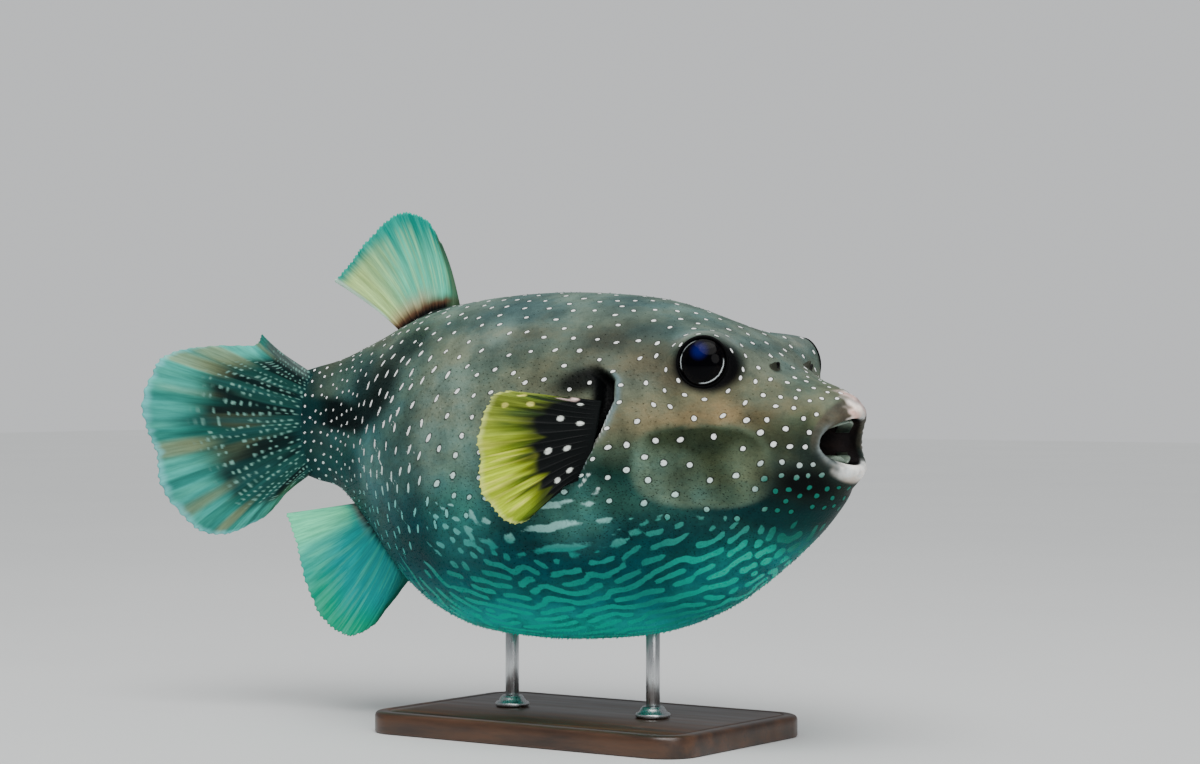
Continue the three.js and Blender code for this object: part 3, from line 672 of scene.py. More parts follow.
# For each point, its place in the nearest spot: along and across it in half sizes, and 1 inside its own room.
def spotMarks():
    taken, placedCount = placeSpots()
    centres, upright = flat[taken], normals[taken]
    long, wide = spotSize(centres)
    spread = chance.uniform(0.84, 1.16, (len(taken), 2))
    long, wide = long * spread[:, 0], wide * spread[:, 1]
    long[:placedCount], wide[:placedCount] = spots["placedHalf"]
    # Spots lie along the body, lean up on the rear flank and ring the eyes.
    lean = smooth(4, -44, centres[:, 0])[:, None] * smooth(-128, -104, centres[:, 0])[:, None]
    way = np.array([1, 0, 0.35]) * (1 - lean) + np.array([0.35, 0, 1.0]) * lean
    for side in (-1, 1):
        ahead, up = eyeFrame(side)[2:]
        a, u, height = acrossEye(centres, side)
        ringed = (smooth(36, 24, np.hypot(a, u)) * (height > -24) * (centres[:, 1] * side > 0))[:, None]
        roundEye = -u[:, None] * ahead + a[:, None] * up
        roundEye = roundEye * np.sign(np.sum(roundEye * way, axis=1, keepdims=True) + 1e-9)
        way = way * (1 - ringed) + unit(roundEye) * ringed * 1.2
    way = way + chance.normal(0, 0.16, way.shape)
    way = unit(way - upright * np.sum(way * upright, axis=1, keepdims=True))
    cross = np.cross(upright, way)
    tree = kdtree.KDTree(len(taken))
    for k, place in enumerate(centres):
        tree.insert(place, k)
    tree.balance()
    room = np.array([tree.find_n(place, 2)[-1][2] for place in centres])
    nearest = np.array([tree.find(place)[1] for place in flat])
    off = flat - centres[nearest]
    distance = np.linalg.norm(off, axis=1)
    own = distance < (room[nearest] - 1.5) / 2
    marks = np.stack([np.sum(off * way[nearest], axis=1) / long[nearest],
                      np.sum(off * cross[nearest], axis=1) / wide[nearest], own.astype(float)], -1)
    return np.clip(marks, -30, 30)


print("colours and markings")
tint = addDetails(hideColour())
stripe = stripeMarks()
marks = spotMarks()


# The colour of spots and stripes by height, darker at the rear of the belly and toward the chin.
def paleColour():
    x, y, z = flat.T
    colours = shadeByHeight(paleLevels, underLevel(x, z))
    rear = 0.8 * smooth(0, -40, x) * smooth(-66, -46, z) * smooth(-20, -34, z)
    colours = blendIn(colours, (104, 196, 190), rear)
    colours = blendIn(colours, (168, 228, 222), 0.75 * oval(x, z, (26, -34), (32, 11), 0, 0.5))
    colours = blendIn(colours, (20, 136, 122), 0.92 * smooth(44, 66, x) * smooth(-24, -37, z))
    # painted light from below on the keel
    colours = blendIn(colours, (2, 200, 172), 0.85 * paintedUnderlight())
    return blendIn(colours, (14, 112, 96), smooth(108, 118, x) * smooth(-4, -20, z))


# The belly, flanks and tail stalk carry prickles; the muzzle and the surrounds of eyes and gills don't.
def roughness():
    x, y, z = flat.T
    amount = smooth(128, 108, x) * smooth(-150, -125, x) * smooth(15, 26, eyeDistance(flat))
    amount = amount * (0.3 + 0.7 * smooth(52, 24, z))
    amount = amount * (1 - slitSpan.ravel() * smooth(9, 5, np.abs(behind.ravel())))
    return amount * smooth(lipRoot, lipRoot - 0.06, flatT)


# Dark pits show on the lower flank.
def pitted():
    x, y, z = flat.T
    return smooth(6, -26, z + 0.12 * (x < 0) * -x) * smooth(-72, -40, z)


pale = paleColour()
rough = roughness()

ends = np.array([skin[0].mean(0), skin[-1].mean(0)])
rows, columns = skin.shape[:2]
faces = gridFaces(rows, columns, closed=True).tolist()
tailTip, gulletTip = len(flat), len(flat) + 1
lastRow = (rows - 1) * columns
for j in range(columns):
    k = (j + 1) % columns
    faces.append([tailTip, k, j])
    faces.append([gulletTip, lastRow + j, lastRow + k])
hidePiece = addPiece("hide", np.vstack([flat, ends]), faces)


# The values of the skin's points, and of the two points that close its ends.
def withEnds(values):
    return np.concatenate([values, values[:1], values[-1:]])


store(hidePiece, "tint", withEnds(tint), "FLOAT_COLOR")
store(hidePiece, "pale", withEnds(pale), "FLOAT_COLOR")
store(hidePiece, "spot", withEnds(marks), "FLOAT_VECTOR")
store(hidePiece, "stripe", withEnds(stripe))
store(hidePiece, "rough", withEnds(rough))
store(hidePiece, "pits", withEnds(pitted() * rough))

# An unwrap of the skin's own shape, cut open along the back.
chartSpan = 520.0  # millimetres across the whole map
chartU = withEnds(lengthwise.ravel()) / chartSpan + 0.15
chartV = withEnds(aroundKeel.ravel()) / chartSpan + 0.5
wrap = withEnds(np.repeat(girth, columns, 1).ravel()) / chartSpan
corner = np.zeros(len(hidePiece.data.loops), int)
hidePiece.data.loops.foreach_get("vertex_index", corner)
corners = [len(polygon.vertices) for polygon in hidePiece.data.polygons]
faceOf = np.repeat(np.arange(len(corners)), corners)
u, v = chartU[corner], chartV[corner]
high = np.full(len(corners), -1.0)
np.maximum.at(high, faceOf, v)
v = np.where(high[faceOf] - v > 0.5 * wrap[corner] + 1e-6, v + wrap[corner], v)
chart = hidePiece.data.uv_layers.new(name="chart")
chart.data.foreach_set("uv", np.stack([u, v], -1).astype(np.float32).ravel())


# Adds and links the nodes of one tree. A value may be a number, a colour or another node's output.
class Nodes:
    def __init__(self, tree):
        self.tree = tree

    def feed(self, socket, value):
        if isinstance(value, bpy.types.NodeSocket):
            self.tree.links.new(value, socket)
        elif value is not None:
            socket.default_value = value

    def add(self, kind, inputs=(), **settings):
        node = self.tree.nodes.new(kind)
        for key, value in settings.items():
            setattr(node, key, value)
        for key, value in dict(inputs).items():
            self.feed(node.inputs[key], value)
        return node

    def math(self, operation, *values):
        node = self.add("ShaderNodeMath", operation=operation)
        for socket, value in zip(node.inputs, values):
            self.feed(socket, value)
        return node.outputs[0]

    def length(self, a, b):
        squares = self.math("ADD", self.math("POWER", a, 2.0), self.math("POWER", b, 2.0))
        return self.math("SQRT", squares)

    def fade(self, value, low, high, start=0.0, end=1.0):
        sockets = {"Value": value, "From Min": low, "From Max": high, "To Min": start, "To Max": end}
        return self.add("ShaderNodeMapRange", sockets, interpolation_type="SMOOTHSTEP").outputs[0]

    def mix(self, amount, a, b, blend="MIX"):
        sockets = {0: amount, 6: a, 7: b}
        return self.add("ShaderNodeMix", sockets, data_type="RGBA", blend_type=blend).outputs[2]

    def multiply(self, a, b):
        return self.mix(1.0, a, b, "MULTIPLY")

    def noise(self, vector, scale, detail=3.0, roughness=0.55):
        sockets = {"Vector": vector, "Scale": scale, "Detail": detail, "Roughness": roughness}
        return self.add("ShaderNodeTexNoise", sockets).outputs[0]

    def cells(self, vector, scale, feature="F1"):
        sockets = {"Vector": vector, "Scale": scale}
        return self.add("ShaderNodeTexVoronoi", sockets, feature=feature).outputs["Distance"]

    def layer(self, name, output="Color"):
        return self.add("ShaderNodeAttribute", attribute_name=name).outputs[output]

    def parts(self, name):
        return self.add("ShaderNodeSeparateXYZ", {0: self.layer(name, "Vector")}).outputs

    def plane(self, x, y):
        return self.add("ShaderNodeCombineXYZ", {0: x, 1: y}).outputs[0]

    def bump(self, shader, height, strength, distance):
        node = self.add("ShaderNodeBump", {"Strength": strength, "Distance": distance, "Height": height})
        self.feed(shader.inputs["Normal"], node.outputs[0])

    def place(self, stretch=(1, 1, 1)):
        coordinates = self.add("ShaderNodeTexCoord").outputs["Object"]
        if tuple(stretch) == (1, 1, 1):
            return coordinates
        return self.add("ShaderNodeMapping", {"Vector": coordinates, "Scale": stretch}).outputs[0]

    def group(self, tree, **inputs):
        node = self.add("ShaderNodeGroup", node_tree=tree)
        for key, value in inputs.items():
            self.feed(node.inputs[key], value)
        return node


def rgba(*colour):
    return (*paint(*colour), 1.0)


# A shader node group with its named inputs and outputs, all plain numbers.
def newGroup(name, inputs, outputs):
    tree = bpy.data.node_groups.new(name, "ShaderNodeTree")
    for key, value in inputs.items():
        tree.interface.new_socket(key, in_out="INPUT", socket_type="NodeSocketFloat").default_value = value
    for key in outputs:
        tree.interface.new_socket(key, in_out="OUTPUT", socket_type="NodeSocketFloat")
    nodes = Nodes(tree)
    return tree, nodes, nodes.add("NodeGroupInput"), nodes.add("NodeGroupOutput")


def newMaterial(name, **constants):
    material = bpy.data.materials.new(name)
    material.use_nodes = True
    shader = material.node_tree.nodes["Principled BSDF"]
    for key, value in constants.items():
        shader.inputs[key.replace("_", " ")].default_value = value
    return material, Nodes(material.node_tree), shader


# Leathery grain shared by hide, lids and nostrils: a height for bump and a cloudy mottle from 0 to 1.
def leatherGroup():
    tree, n, given, out = newGroup("leather", {"Grain": 900.0, "Clouds": 70.0}, ("Height", "Mottle"))
    place = n.place()
    fine = n.noise(place, given.outputs["Grain"], 4.0, 0.6)
    cells = n.cells(place, given.outputs["Grain"], "SMOOTH_F1")
    n.feed(out.inputs["Height"], n.math("MULTIPLY_ADD", cells, -0.5, fine))
    clouds = n.noise(place, given.outputs["Clouds"], 5.0, 0.62)
    n.feed(out.inputs["Mottle"], n.fade(clouds, 0.28, 0.72))
    return tree


# Oval spots from the "spot" layer: the spot itself and the thin dark rim round it.
def spotGroup():
    tree, n, given, out = newGroup("ovalSpots", {"Edge": 0.14}, ("Spot", "Rim"))
    down, across, inRoom = n.parts("spot")
    far = n.math("SUBTRACT", n.length(down, across), 0.25)
    far = n.math("MULTIPLY_ADD", n.noise(n.place(), 700.0, 1.0), 0.5, far)
    own = n.fade(inRoom, 0.78, 0.96)
    edge = given.outputs["Edge"]
    inner = n.fade(far, n.math("SUBTRACT", 1.0, edge), n.math("ADD", 1.0, edge), 1.0, 0.0)
    outer = n.fade(far, 1.15, 1.75, 1.0, 0.0)
    n.feed(out.inputs["Spot"], n.math("MULTIPLY", inner, own))
    n.feed(out.inputs["Rim"], n.math("MULTIPLY", outer, own))
    return tree


leather, ovalSpots = leatherGroup(), spotGroup()


# The markings and grain that the hide and its prickles share.
def hideMaterial(name, bumpStrength):
    material, n, shader = newMaterial(name, Roughness=0.52, Specular_IOR_Level=0.07)
    grain = n.group(leather, Grain=850.0, Clouds=62.0)
    mottle = grain.outputs["Mottle"]
    spotted = n.group(ovalSpots, Edge=0.16)
    base = n.multiply(n.layer("tint"), n.mix(mottle, (0.64, 0.66, 0.66, 1), (1.31, 1.3, 1.28, 1)))
    earth = n.fade(n.noise(n.place((0.8, 1, 1.5)), 40.0, 5.0, 0.65), 0.36, 0.64)
    base = n.multiply(base, n.mix(earth, (0.82, 0.94, 0.99, 1), (1.15, 1.04, 0.94, 1)))
    flecks = n.noise(n.place((1, 1, 1.4)), 330.0, 3.0, 0.7)
    base = n.mix(n.fade(flecks, 0.55, 0.75, 0.0, 0.18), base, rgba(20, 20, 16))
    # dark pits
    pits = n.cells(n.place((0.7, 0.85, 1.2)), 860.0)
    pitMask = n.math("MULTIPLY", n.fade(pits, 0.16, 0.28, 1.0, 0.0), n.layer("pits", "Fac"))
    base = n.mix(n.math("MULTIPLY", pitMask, 0.7), base, rgba(4, 10, 10))
    # stripes with an uneven edge, then spots with a dark rim
    waver = n.math("MULTIPLY_ADD", n.noise(n.place(), 420.0, 2.0), 0.9, -0.45)
    lined = n.fade(n.math("ADD", n.layer("stripe", "Fac"), waver), -0.28, 0.34)
    pale = n.layer("pale")
    palest = n.mix(mottle, pale, n.mix(0.22, pale, rgba(0, 30, 28)))
    base = n.mix(n.math("MULTIPLY", lined, 0.86), base, palest)
    base = n.mix(n.math("MULTIPLY", spotted.outputs["Rim"], 0.72), base, rgba(8, 8, 7))
    base = n.mix(spotted.outputs["Spot"], base, pale)
    n.feed(shader.inputs["Base Color"], base)
    n.feed(shader.inputs["Roughness"], n.fade(mottle, 0.0, 1.0, 0.46, 0.62))
    height = n.math("MULTIPLY_ADD", pitMask, -0.8, grain.outputs["Height"])
    height = n.math("MULTIPLY_ADD", spotted.outputs["Spot"], 0.35, height)
    n.bump(shader, height, bumpStrength, 0.0006)
    return material


skinLook = hideMaterial("spottedHide", 0.55)
hidePiece.data.materials.append(skinLook)
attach(hidePiece, "root")
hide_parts("head", "trunk", "tail", "lip_upper", "lip_lower")
print("  skin faces:", len(hidePiece.data.polygons))


# An eyeball is a flattened ball with its poles along the gaze.
def eyeball(side, word):
    rings, around = 64, 112
    tilt = np.concatenate([[0.012], np.linspace(0.03, 1.45, rings - 14), np.linspace(1.5, 3.12, 13)])
    turn = np.linspace(0, 2 * math.pi, around, endpoint=False)
    middle, gaze, ahead, up = eyeFrame(side)
    across = np.sin(tilt)[:, None] * eye["radius"]
    out = np.cos(tilt)[:, None] * eye["depth"] + np.zeros((1, around))
    a, u = across * np.cos(turn), across * np.sin(turn)
    points = middle + a[..., None] * ahead + u[..., None] * up + out[..., None] * gaze
    count = len(tilt)
    faces = gridFaces(count, around, closed=True, flip=side > 0).tolist()
    front, back = count * around, count * around + 1
    for j in range(around):
        k = (j + 1) % around
        first, last = [front, k, j], [back, (count - 1) * around + j, (count - 1) * around + k]
        faces += [first[::-1], last[::-1]] if side > 0 else [first, last]
    poles = np.array([middle + gaze * eye["depth"], middle - gaze * eye["depth"]])
    ball = addPiece("eyeball_" + word, np.vstack([points.reshape(-1, 3), poles]), faces)
    disc = np.stack([a, u, out], -1).reshape(-1, 3)
    store(ball, "disc", np.vstack([disc, [[0, 0, 8], [0, 0, -8]]]), "FLOAT_VECTOR")
    ball.data.materials.append(eyeLook)
    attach(ball, "root")
    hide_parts("eye_" + word)


# The lid is a soft dark roll that closes the hide onto the eyeball.
def eyelid(side, word):
    around, turns = 144, 14
    middle, gaze, ahead, up = eyeFrame(side)
    sweep = np.linspace(0, 2 * math.pi, around, endpoint=False)[:, None]
    section = np.linspace(0, 2 * math.pi, turns, endpoint=False)[None]
    thick = eye["lidThick"] * (1 + 0.18 * np.sin(sweep - 0.6) + 0.05 * np.sin(5 * sweep + 1))
    radius = eye["lid"] + 0.1 + thick * np.cos(section)
    height = eye["lidUp"] + 0.05 + 1.15 * thick * np.sin(section)
    a, u = radius * np.cos(sweep), radius * np.sin(sweep)
    ring = middle + a[..., None] * ahead + u[..., None] * up + height[..., None] * gaze
    faces = gridFaces(around + 1, turns, closed=True, flip=side > 0) % (around * turns)
    lid = addPiece("eyelid_" + word, ring, faces)
    lid.data.materials.append(lidLook)
    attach(lid, "root")


def eyeMaterial():
    material, n, shader = newMaterial("eyeGloss", Roughness=0.1, Specular_IOR_Level=0.06)
    a, u = n.parts("disc")[:2]
    radius = n.length(a, u)
    turn = n.math("ARCTAN2", u, a)
    fine = n.noise(n.place(), 900.0, 3.0)
    # Black, with a painted deep blue reflection high on the ball and a faint brown iris round the pupil.
    fromReflection = n.length(n.math("ADD", a, 1.0), n.math("SUBTRACT", u, 4.5))
    blueReflection = n.math("MULTIPLY", n.fade(fromReflection, 1.0, 5.2, 1.0, 0.0), 0.85)
    base = n.mix(blueReflection, rgba(1, 1, 3), rgba(12, 14, 86))
    iris = n.math("MULTIPLY", n.fade(radius, 6.2, 7.6), n.fade(fine, 0.4, 0.75, 0.0, 0.35))
    base = n.mix(iris, base, rgba(26, 20, 16))
    wobble = n.math("MULTIPLY_ADD", fine, 0.5, n.math("SUBTRACT", radius, 9.7))
    thin = n.fade(n.math("ABSOLUTE", wobble), 0.1, 0.3, 1.0, 0.0)
    # The silver ring shows as arcs: low in front, behind, and high behind. They are the eye's thin silver
    # ring, shown only where a painted highlight catches it.
    low = n.fade(n.math("ABSOLUTE", n.math("ADD", turn, 0.78)), 0.72, 0.98, 1.0, 0.0)
    rear = n.fade(n.math("ABSOLUTE", n.math("SUBTRACT", n.math("ABSOLUTE", turn), 3.1)), 0.2, 0.38, 0.9, 0.0)
    high = n.fade(n.math("ABSOLUTE", n.math("SUBTRACT", turn, 2.3)), 0.2, 0.5, 0.35, 0.0)
    ring = n.math("MULTIPLY", thin, n.math("MAXIMUM", n.math("MAXIMUM", low, high), rear))
    base = n.mix(n.math("MULTIPLY", ring, 0.95), base, rgba(196, 204, 206))
    n.feed(shader.inputs["Base Color"], base)
    return material


def lidMaterial():
    material, n, shader = newMaterial("lidSkin", Roughness=0.55, Specular_IOR_Level=0.04)
    grain = n.group(leather, Grain=1100.0, Clouds=160.0)
    n.feed(shader.inputs["Base Color"], n.mix(grain.outputs["Mottle"], rgba(2, 2, 3), rgba(10, 10, 12)))
    n.bump(shader, grain.outputs["Height"], 0.3, 0.0004)
    return material


print("eyes")
eyeLook, lidLook = eyeMaterial(), lidMaterial()
for side, word in ((-1, "right"), (1, "left")):
    eyeball(side, word)
    eyelid(side, word)


# A nostril's flaps stand where the skin comes nearest to its place.
def nostril(side, word):
    around = nose["around"]
    root = np.argmin(np.linalg.norm(flat - mirrored(nose["at"], side), axis=1))
    middle, out = flat[root], normals[root]
    ahead = unit(np.array([1.0, 0, -0.1]) - out * np.dot([1.0, 0, -0.1], out))
    across = np.cross(out, ahead)
    turn = np.linspace(0, 2 * math.pi, around, endpoint=False)[None]
    reach = np.array([1.35, 1.18, 1.0, 0.9, 0.8, 0.68, 0.58, 0.48, 0.4, 0.3, 0.18, 0.06])[:, None]
    high = np.array([-0.5, -0.12, 0.25, 0.62, 0.93, 1.0, 0.86, 0.45, 0.0, -0.45, -0.7, -0.8])[:, None]
    # Two flaps, ahead of the opening and behind it; the rear one is taller.
    flaps = 0.55 + 0.45 * np.cos(2 * turn) - 0.16 * np.cos(turn)
    height = np.where(high > 0, high * flaps * nose["tall"], high * nose["pit"] + 0.0 * turn)
    points = (middle + (reach * nose["long"] * np.cos(turn))[..., None] * across
              + (reach * nose["wide"] * np.sin(turn))[..., None] * ahead + height[..., None] * out)
    faces = gridFaces(len(reach), around, closed=True, flip=True).tolist()
    bottom = len(reach) * around
    faces += [[bottom, bottom - around + j, bottom - around + (j + 1) % around] for j in range(around)]
    points = np.vstack([points.reshape(-1, 3), [middle - out * nose["pit"] * 0.8]])
    piece = addPiece("nostril_flaps_" + word, points, faces)
    # the pit inside the flaps is painted near black as shade
    dark = np.concatenate([np.repeat(smooth(0.86, 0.66, reach[:, 0]), around), [1.0]])
    colour = blendIn(np.repeat(paint(58, 60, 52)[None], len(points), 0), (4, 4, 4), dark)
    store(piece, "tint", colour, "FLOAT_COLOR")
    piece.data.materials.append(plainFlesh)
    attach(piece, "root")
    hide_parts("nostril_" + word)


def fleshMaterial():
    material, n, shader = newMaterial("plainFlesh", Roughness=0.5, Specular_IOR_Level=0.12)
    grain = n.group(leather, Grain=1300.0, Clouds=200.0)
    tone = n.mix(grain.outputs["Mottle"], rgba(190, 190, 186), rgba(255, 255, 250))
    n.feed(shader.inputs["Base Color"], n.multiply(n.layer("tint"), tone))
    n.bump(shader, grain.outputs["Height"], 0.4, 0.0004)
    return material


plainFlesh = fleshMaterial()
for side, word in ((-1, "right"), (1, "left")):
    nostril(side, word)

# The two plates of the beak, round the middle of the mouth.
beak = {
    "back": 134, "setBack": 9.5, "half": 15, "level": -3, "spread": 64,
    "bite": 2.6, "biteRound": 2.1,  # length of the biting edge, and how far its rounding stands out
    "upper": {"front": 142.6, "tall": 11.2, "thick": 2.1, "notch": 0.3, "swell": 0.2,
              "tooth": 24, "wide": 26},  # degrees to the middle of each tooth, and its width
    "lower": {"front": 141.4, "tall": 9.2, "thick": 1.4, "notch": 0.8, "swell": 2.4,
              "tooth": 22, "wide": 12},
}


# A plate follows the mouth; a seam parts it into two teeth, and its biting edge is rounded.
def beakPlate(side, word):
    plate = beak[word]
    steps = 160
    turn = np.linspace(-1, 1, steps + 1)[:, None] * beak["spread"]  # degrees from the middle
    angle = side * np.radians(90 - turn)
    c, s = np.cos(angle), np.sin(angle)
    seam = bell(turn, 1.3)
    crown = bell(np.abs(turn) - plate["tooth"], plate["wide"])
    thick = plate["thick"] + plate["swell"] * crown - plate["notch"] * bell(turn, 4.5)
    thick = thick - 0.9 * smooth(36, 56, np.abs(turn))
    front = plate["front"] - 0.5 + 0.4 * crown - plate["notch"] * 0.5 * bell(turn, 3.0)
    edge = front - beak["bite"]
    # Section: along the outer face, round the biting edge, and back along the inner face.
    k = np.linspace(0, 1, 13)[None]
    bite = np.linspace(-0.5, 0.5, 9)[None] * math.pi
    outX = beak["back"] + (edge - beak["back"]) * k
    outIn = 0.25 * seam * np.ones_like(k)
    edgeX = edge + beak["biteRound"] * np.cos(bite) * (0.55 + 0.45 * np.sin(bite))
    edgeIn = thick * (0.5 + 0.5 * np.sin(bite)) + 0.2 * seam
    backX = edge - (edge - beak["back"]) * k[:, 1:]
    backIn = thick * np.ones_like(k[:, 1:])
    x = np.concatenate([outX, edgeX[:, 1:-1], backX], 1)
    inset = np.concatenate([outIn, edgeIn[:, 1:-1], backIn], 1)
    ends = smooth(1.0, 0.93, np.abs(turn) / beak["spread"])
    inset = thick * 0.5 + (inset - thick * 0.5) * (0.15 + 0.85 * ends)
    y, z = (beak["half"] - inset) * c, beak["level"] + (plate["tall"] - inset) * s
    points = np.stack([x - beak["setBack"] * c * c, y, z], -1)
    rows, columns = points.shape[:2]
    faces = gridFaces(rows, columns, closed=True, flip=side > 0).tolist()
    caps = [list(range(columns)), [(rows - 1) * columns + i for i in range(columns)][::-1]]
    faces += caps if side > 0 else [cap[::-1] for cap in caps]
    piece = addPiece("beak_plate_" + word, points, faces)
    toothMap = np.stack([np.repeat(turn, columns, 1), inset / thick, np.repeat(seam, columns, 1)], -1)
    store(piece, "tooth", toothMap.reshape(-1, 3), "FLOAT_VECTOR")
    piece.data.materials.append(enamelLook)
    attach(piece, "root")
    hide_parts("beak_" + word)


def enamelMaterial():
    material, n, shader = newMaterial("enamel", Roughness=0.28, Specular_IOR_Level=0.5,
                                      Coat_Weight=0.3, Coat_Roughness=0.1)
    turn, inward, seam = n.parts("tooth")
    lines = n.noise(n.plane(n.math("MULTIPLY", turn, 0.35), inward), 5.0, 3.0)
    # dim, greenish plates: pale teeth with the shade and water light inside the mouth painted over them
    base = n.mix(n.fade(lines, 0.35, 0.7), rgba(150, 166, 152), rgba(98, 124, 108))
    # painted shade toward the corners of the mouth
    base = n.mix(n.fade(n.math("ABSOLUTE", turn), 22.0, 46.0, 0.0, 0.9), base, rgba(34, 46, 40))
    base = n.mix(n.math("MULTIPLY", seam, 0.7), base, rgba(96, 84, 70))
    stain = n.noise(n.place(), 260.0, 4.0)
    base = n.mix(n.fade(stain, 0.5, 0.75, 0.0, 0.5), base, rgba(128, 132, 108))
    n.feed(shader.inputs["Base Color"], base)
    n.bump(shader, lines, 0.25, 0.0003)
    return material


print("beak")
enamelLook = enamelMaterial()
beakPlate(1, "upper")
beakPlate(-1, "lower")

# Base and margin run from the leading to the trailing ray. root is the thickness at the body.
fins = {
    "dorsal_fin": {
        "base": [[-74, 0, 57], [-105, 0, 46]],
        "margin": [[-82, -4, 90], [-89, -8, 103], [-104, -12, 105], [-120, -17, 89.5], [-135.5, -20, 73]],
        "bow": [0, 3, 0], "ripple": 0.8, "waves": 2.5, "root": 6.5, "rays": 10, "slot": "pale_fin",
    },
    "anal_fin": {
        "base": [[-98, 1, -62], [-127, -3, -34]],
        "margin": [[-117, -3, -85], [-125, -5, -96], [-138, -8, -100.5], [-153, -11, -90], [-164, -13, -62],
                   [-171.5, -14, -41]],
        "bow": [0, 3, 0], "ripple": 0.8, "waves": 2.5, "root": 6, "rays": 10, "slot": "pale_fin",
    },
    "caudal_fin": {
        "base": [[-155, -12, 28], [-157, -12.5, 4], [-155, -12, -20]],
        "margin": [[-182, -21, 48], [-190, -18, 42.5], [-216, -24, 42], [-238, -29, 38.5],
                   [-247, -31, 28], [-251.5, -32.5, 4], [-244, -31, -12], [-239, -30, -30],
                   [-225, -27, -48], [-206, -23, -52.5], [-190, -20, -47], [-172, -16, -34.5]],
        "bow": [0, -3, 0], "ripple": 1.6, "waves": 4.5, "root": 5.5, "rays": 11, "slot": "tail_fin",
    },
    "pectoral_fin_right": {
        "base": [[49.5, -60, 16], [48, -62, 1], [40, -62, -17]],
        "margin": [[26, -82, 19], [18, -89.5, 19.5], [11, -92.5, 12], [8.5, -93, -4], [8.5, -92.3, -18],
                   [13, -90, -31], [23, -84.5, -38], [31, -79, -31]],
        "bow": [2, -3, 0], "ripple": 1.3, "waves": 4.5, "root": 7, "rays": 16, "slot": "pectoral_fin",
    },
}
membrane = {"thick": 0.5, "ray": 0.34, "pleat": 0.3, "scallop": 0.016, "ragged": 0.008,
            "steps": 84, "perRay": 18, "edgeRound": 0.01}
fins["pectoral_fin_left"] = dict(fins["pectoral_fin_right"])
for key in ("base", "margin", "bow"):
    fins["pectoral_fin_left"][key] = mirrored(fins["pectoral_fin_right"][key], -1).tolist()
noiseSize = 96
noiseGrid = chance.random((noiseSize + 1, noiseSize + 1))


# Cloudy noise from 0 to 1 over two coordinates, repeating after noiseSize steps.
def cloud(u, v, layer=0):
    u, v = np.mod(u + 17.3 * layer, noiseSize), np.mod(v + 31.7 * layer, noiseSize)
    i, j = u.astype(int), v.astype(int)
    a, b = smooth(0, 1, u - i), smooth(0, 1, v - j)
    nextI, nextJ = (i + 1) % noiseSize, (j + 1) % noiseSize
    near = noiseGrid[i, j] * (1 - a) + noiseGrid[nextI, j] * a
    far = noiseGrid[i, nextJ] * (1 - a) + noiseGrid[nextI, nextJ] * a
    return near * (1 - b) + far * b


# The fin's middle surface: a runs from the first to the last ray, r from the root to the margin, both 0 to 1.
def finSheet(fin, a, r):
    start, end = along(fin["base"], a), along(fin["margin"], a)
    points = start + (end - start) * r[..., None] + np.array(fin["bow"]) * (4 * r * (1 - r))[..., None]
    turn = 2 * math.pi * fin["waves"] * a
    points[..., 1] += fin["ripple"] * r * r * (np.sin(turn) + 0.45 * np.sin(1.9 * turn + 1.2))
    return points


# How near a point of a fin is to a ray, from 0 to 1. Each ray forks once, and the broad rays twice.
def rayRidge(fin, a, r):
    cell = np.clip(a, 0, 0.99999) * fin["rays"]
    off = cell - np.floor(cell) - 0.5
    fork = 0.25 * smooth(0.28, 1.0, r)
    second = 0.125 * smooth(0.6, 1.15, r) * (fin["rays"] < 14)
    far = np.abs(np.abs(np.abs(off) - fork) - second)
    return np.exp(-(far / (0.1 - 0.035 * r)) ** 2)


def finGrid(fin):
    count = fin["rays"] * membrane["perRay"]
    a = np.linspace(0, 1, count + 1)
    r = np.concatenate([[-0.03], np.linspace(0, 1, membrane["steps"] - 6) ** 0.95, [1.0]])
    rr, aa = np.meshgrid(r, a, indexing="ij")
    ridge = rayRidge(fin, aa, np.clip(rr, 0, 1))
    edgeRidge = rayRidge(fin, aa, np.ones_like(aa))
    notches = membrane["scallop"] * (1 - edgeRidge) + membrane["ragged"] * cloud(aa * 37, aa * 3)
    cutBack = rr * (1 - notches * smooth(0.75, 1, rr) ** 2)
    sheet = finSheet(fin, aa, cutBack)
    delta = 1e-3
    alongA = (finSheet(fin, np.clip(aa + delta, 0, 1), cutBack)
              - finSheet(fin, np.clip(aa - delta, 0, 1), cutBack))
    alongR = finSheet(fin, aa, cutBack + delta) - finSheet(fin, aa, cutBack - delta)
    normal = unit(np.cross(alongA, alongR))
    toMargin = np.clip(rr, 0, 1)
    thin = membrane["thick"] + (fin["root"] - membrane["thick"]) * (1 - toMargin) ** 3
    half = thin / 2 + membrane["ray"] * ridge * (1 - 0.55 * toMargin) * smooth(0.0, 0.15, rr)
    fromEdge = np.minimum(np.minimum(aa, 1 - aa) / membrane["edgeRound"], 1)
    half = half * np.sqrt(np.clip(1 - (1 - fromEdge) ** 2, 0, 1))
    half[0] = 0
    half[-1] = 0
    half[-2] *= 0.7
    pleat = membrane["pleat"] * np.cos(2 * math.pi * aa * fin["rays"]) * smooth(0.2, 0.8, rr)
    return aa, toMargin, ridge, sheet + normal * pleat[..., None], normal, half


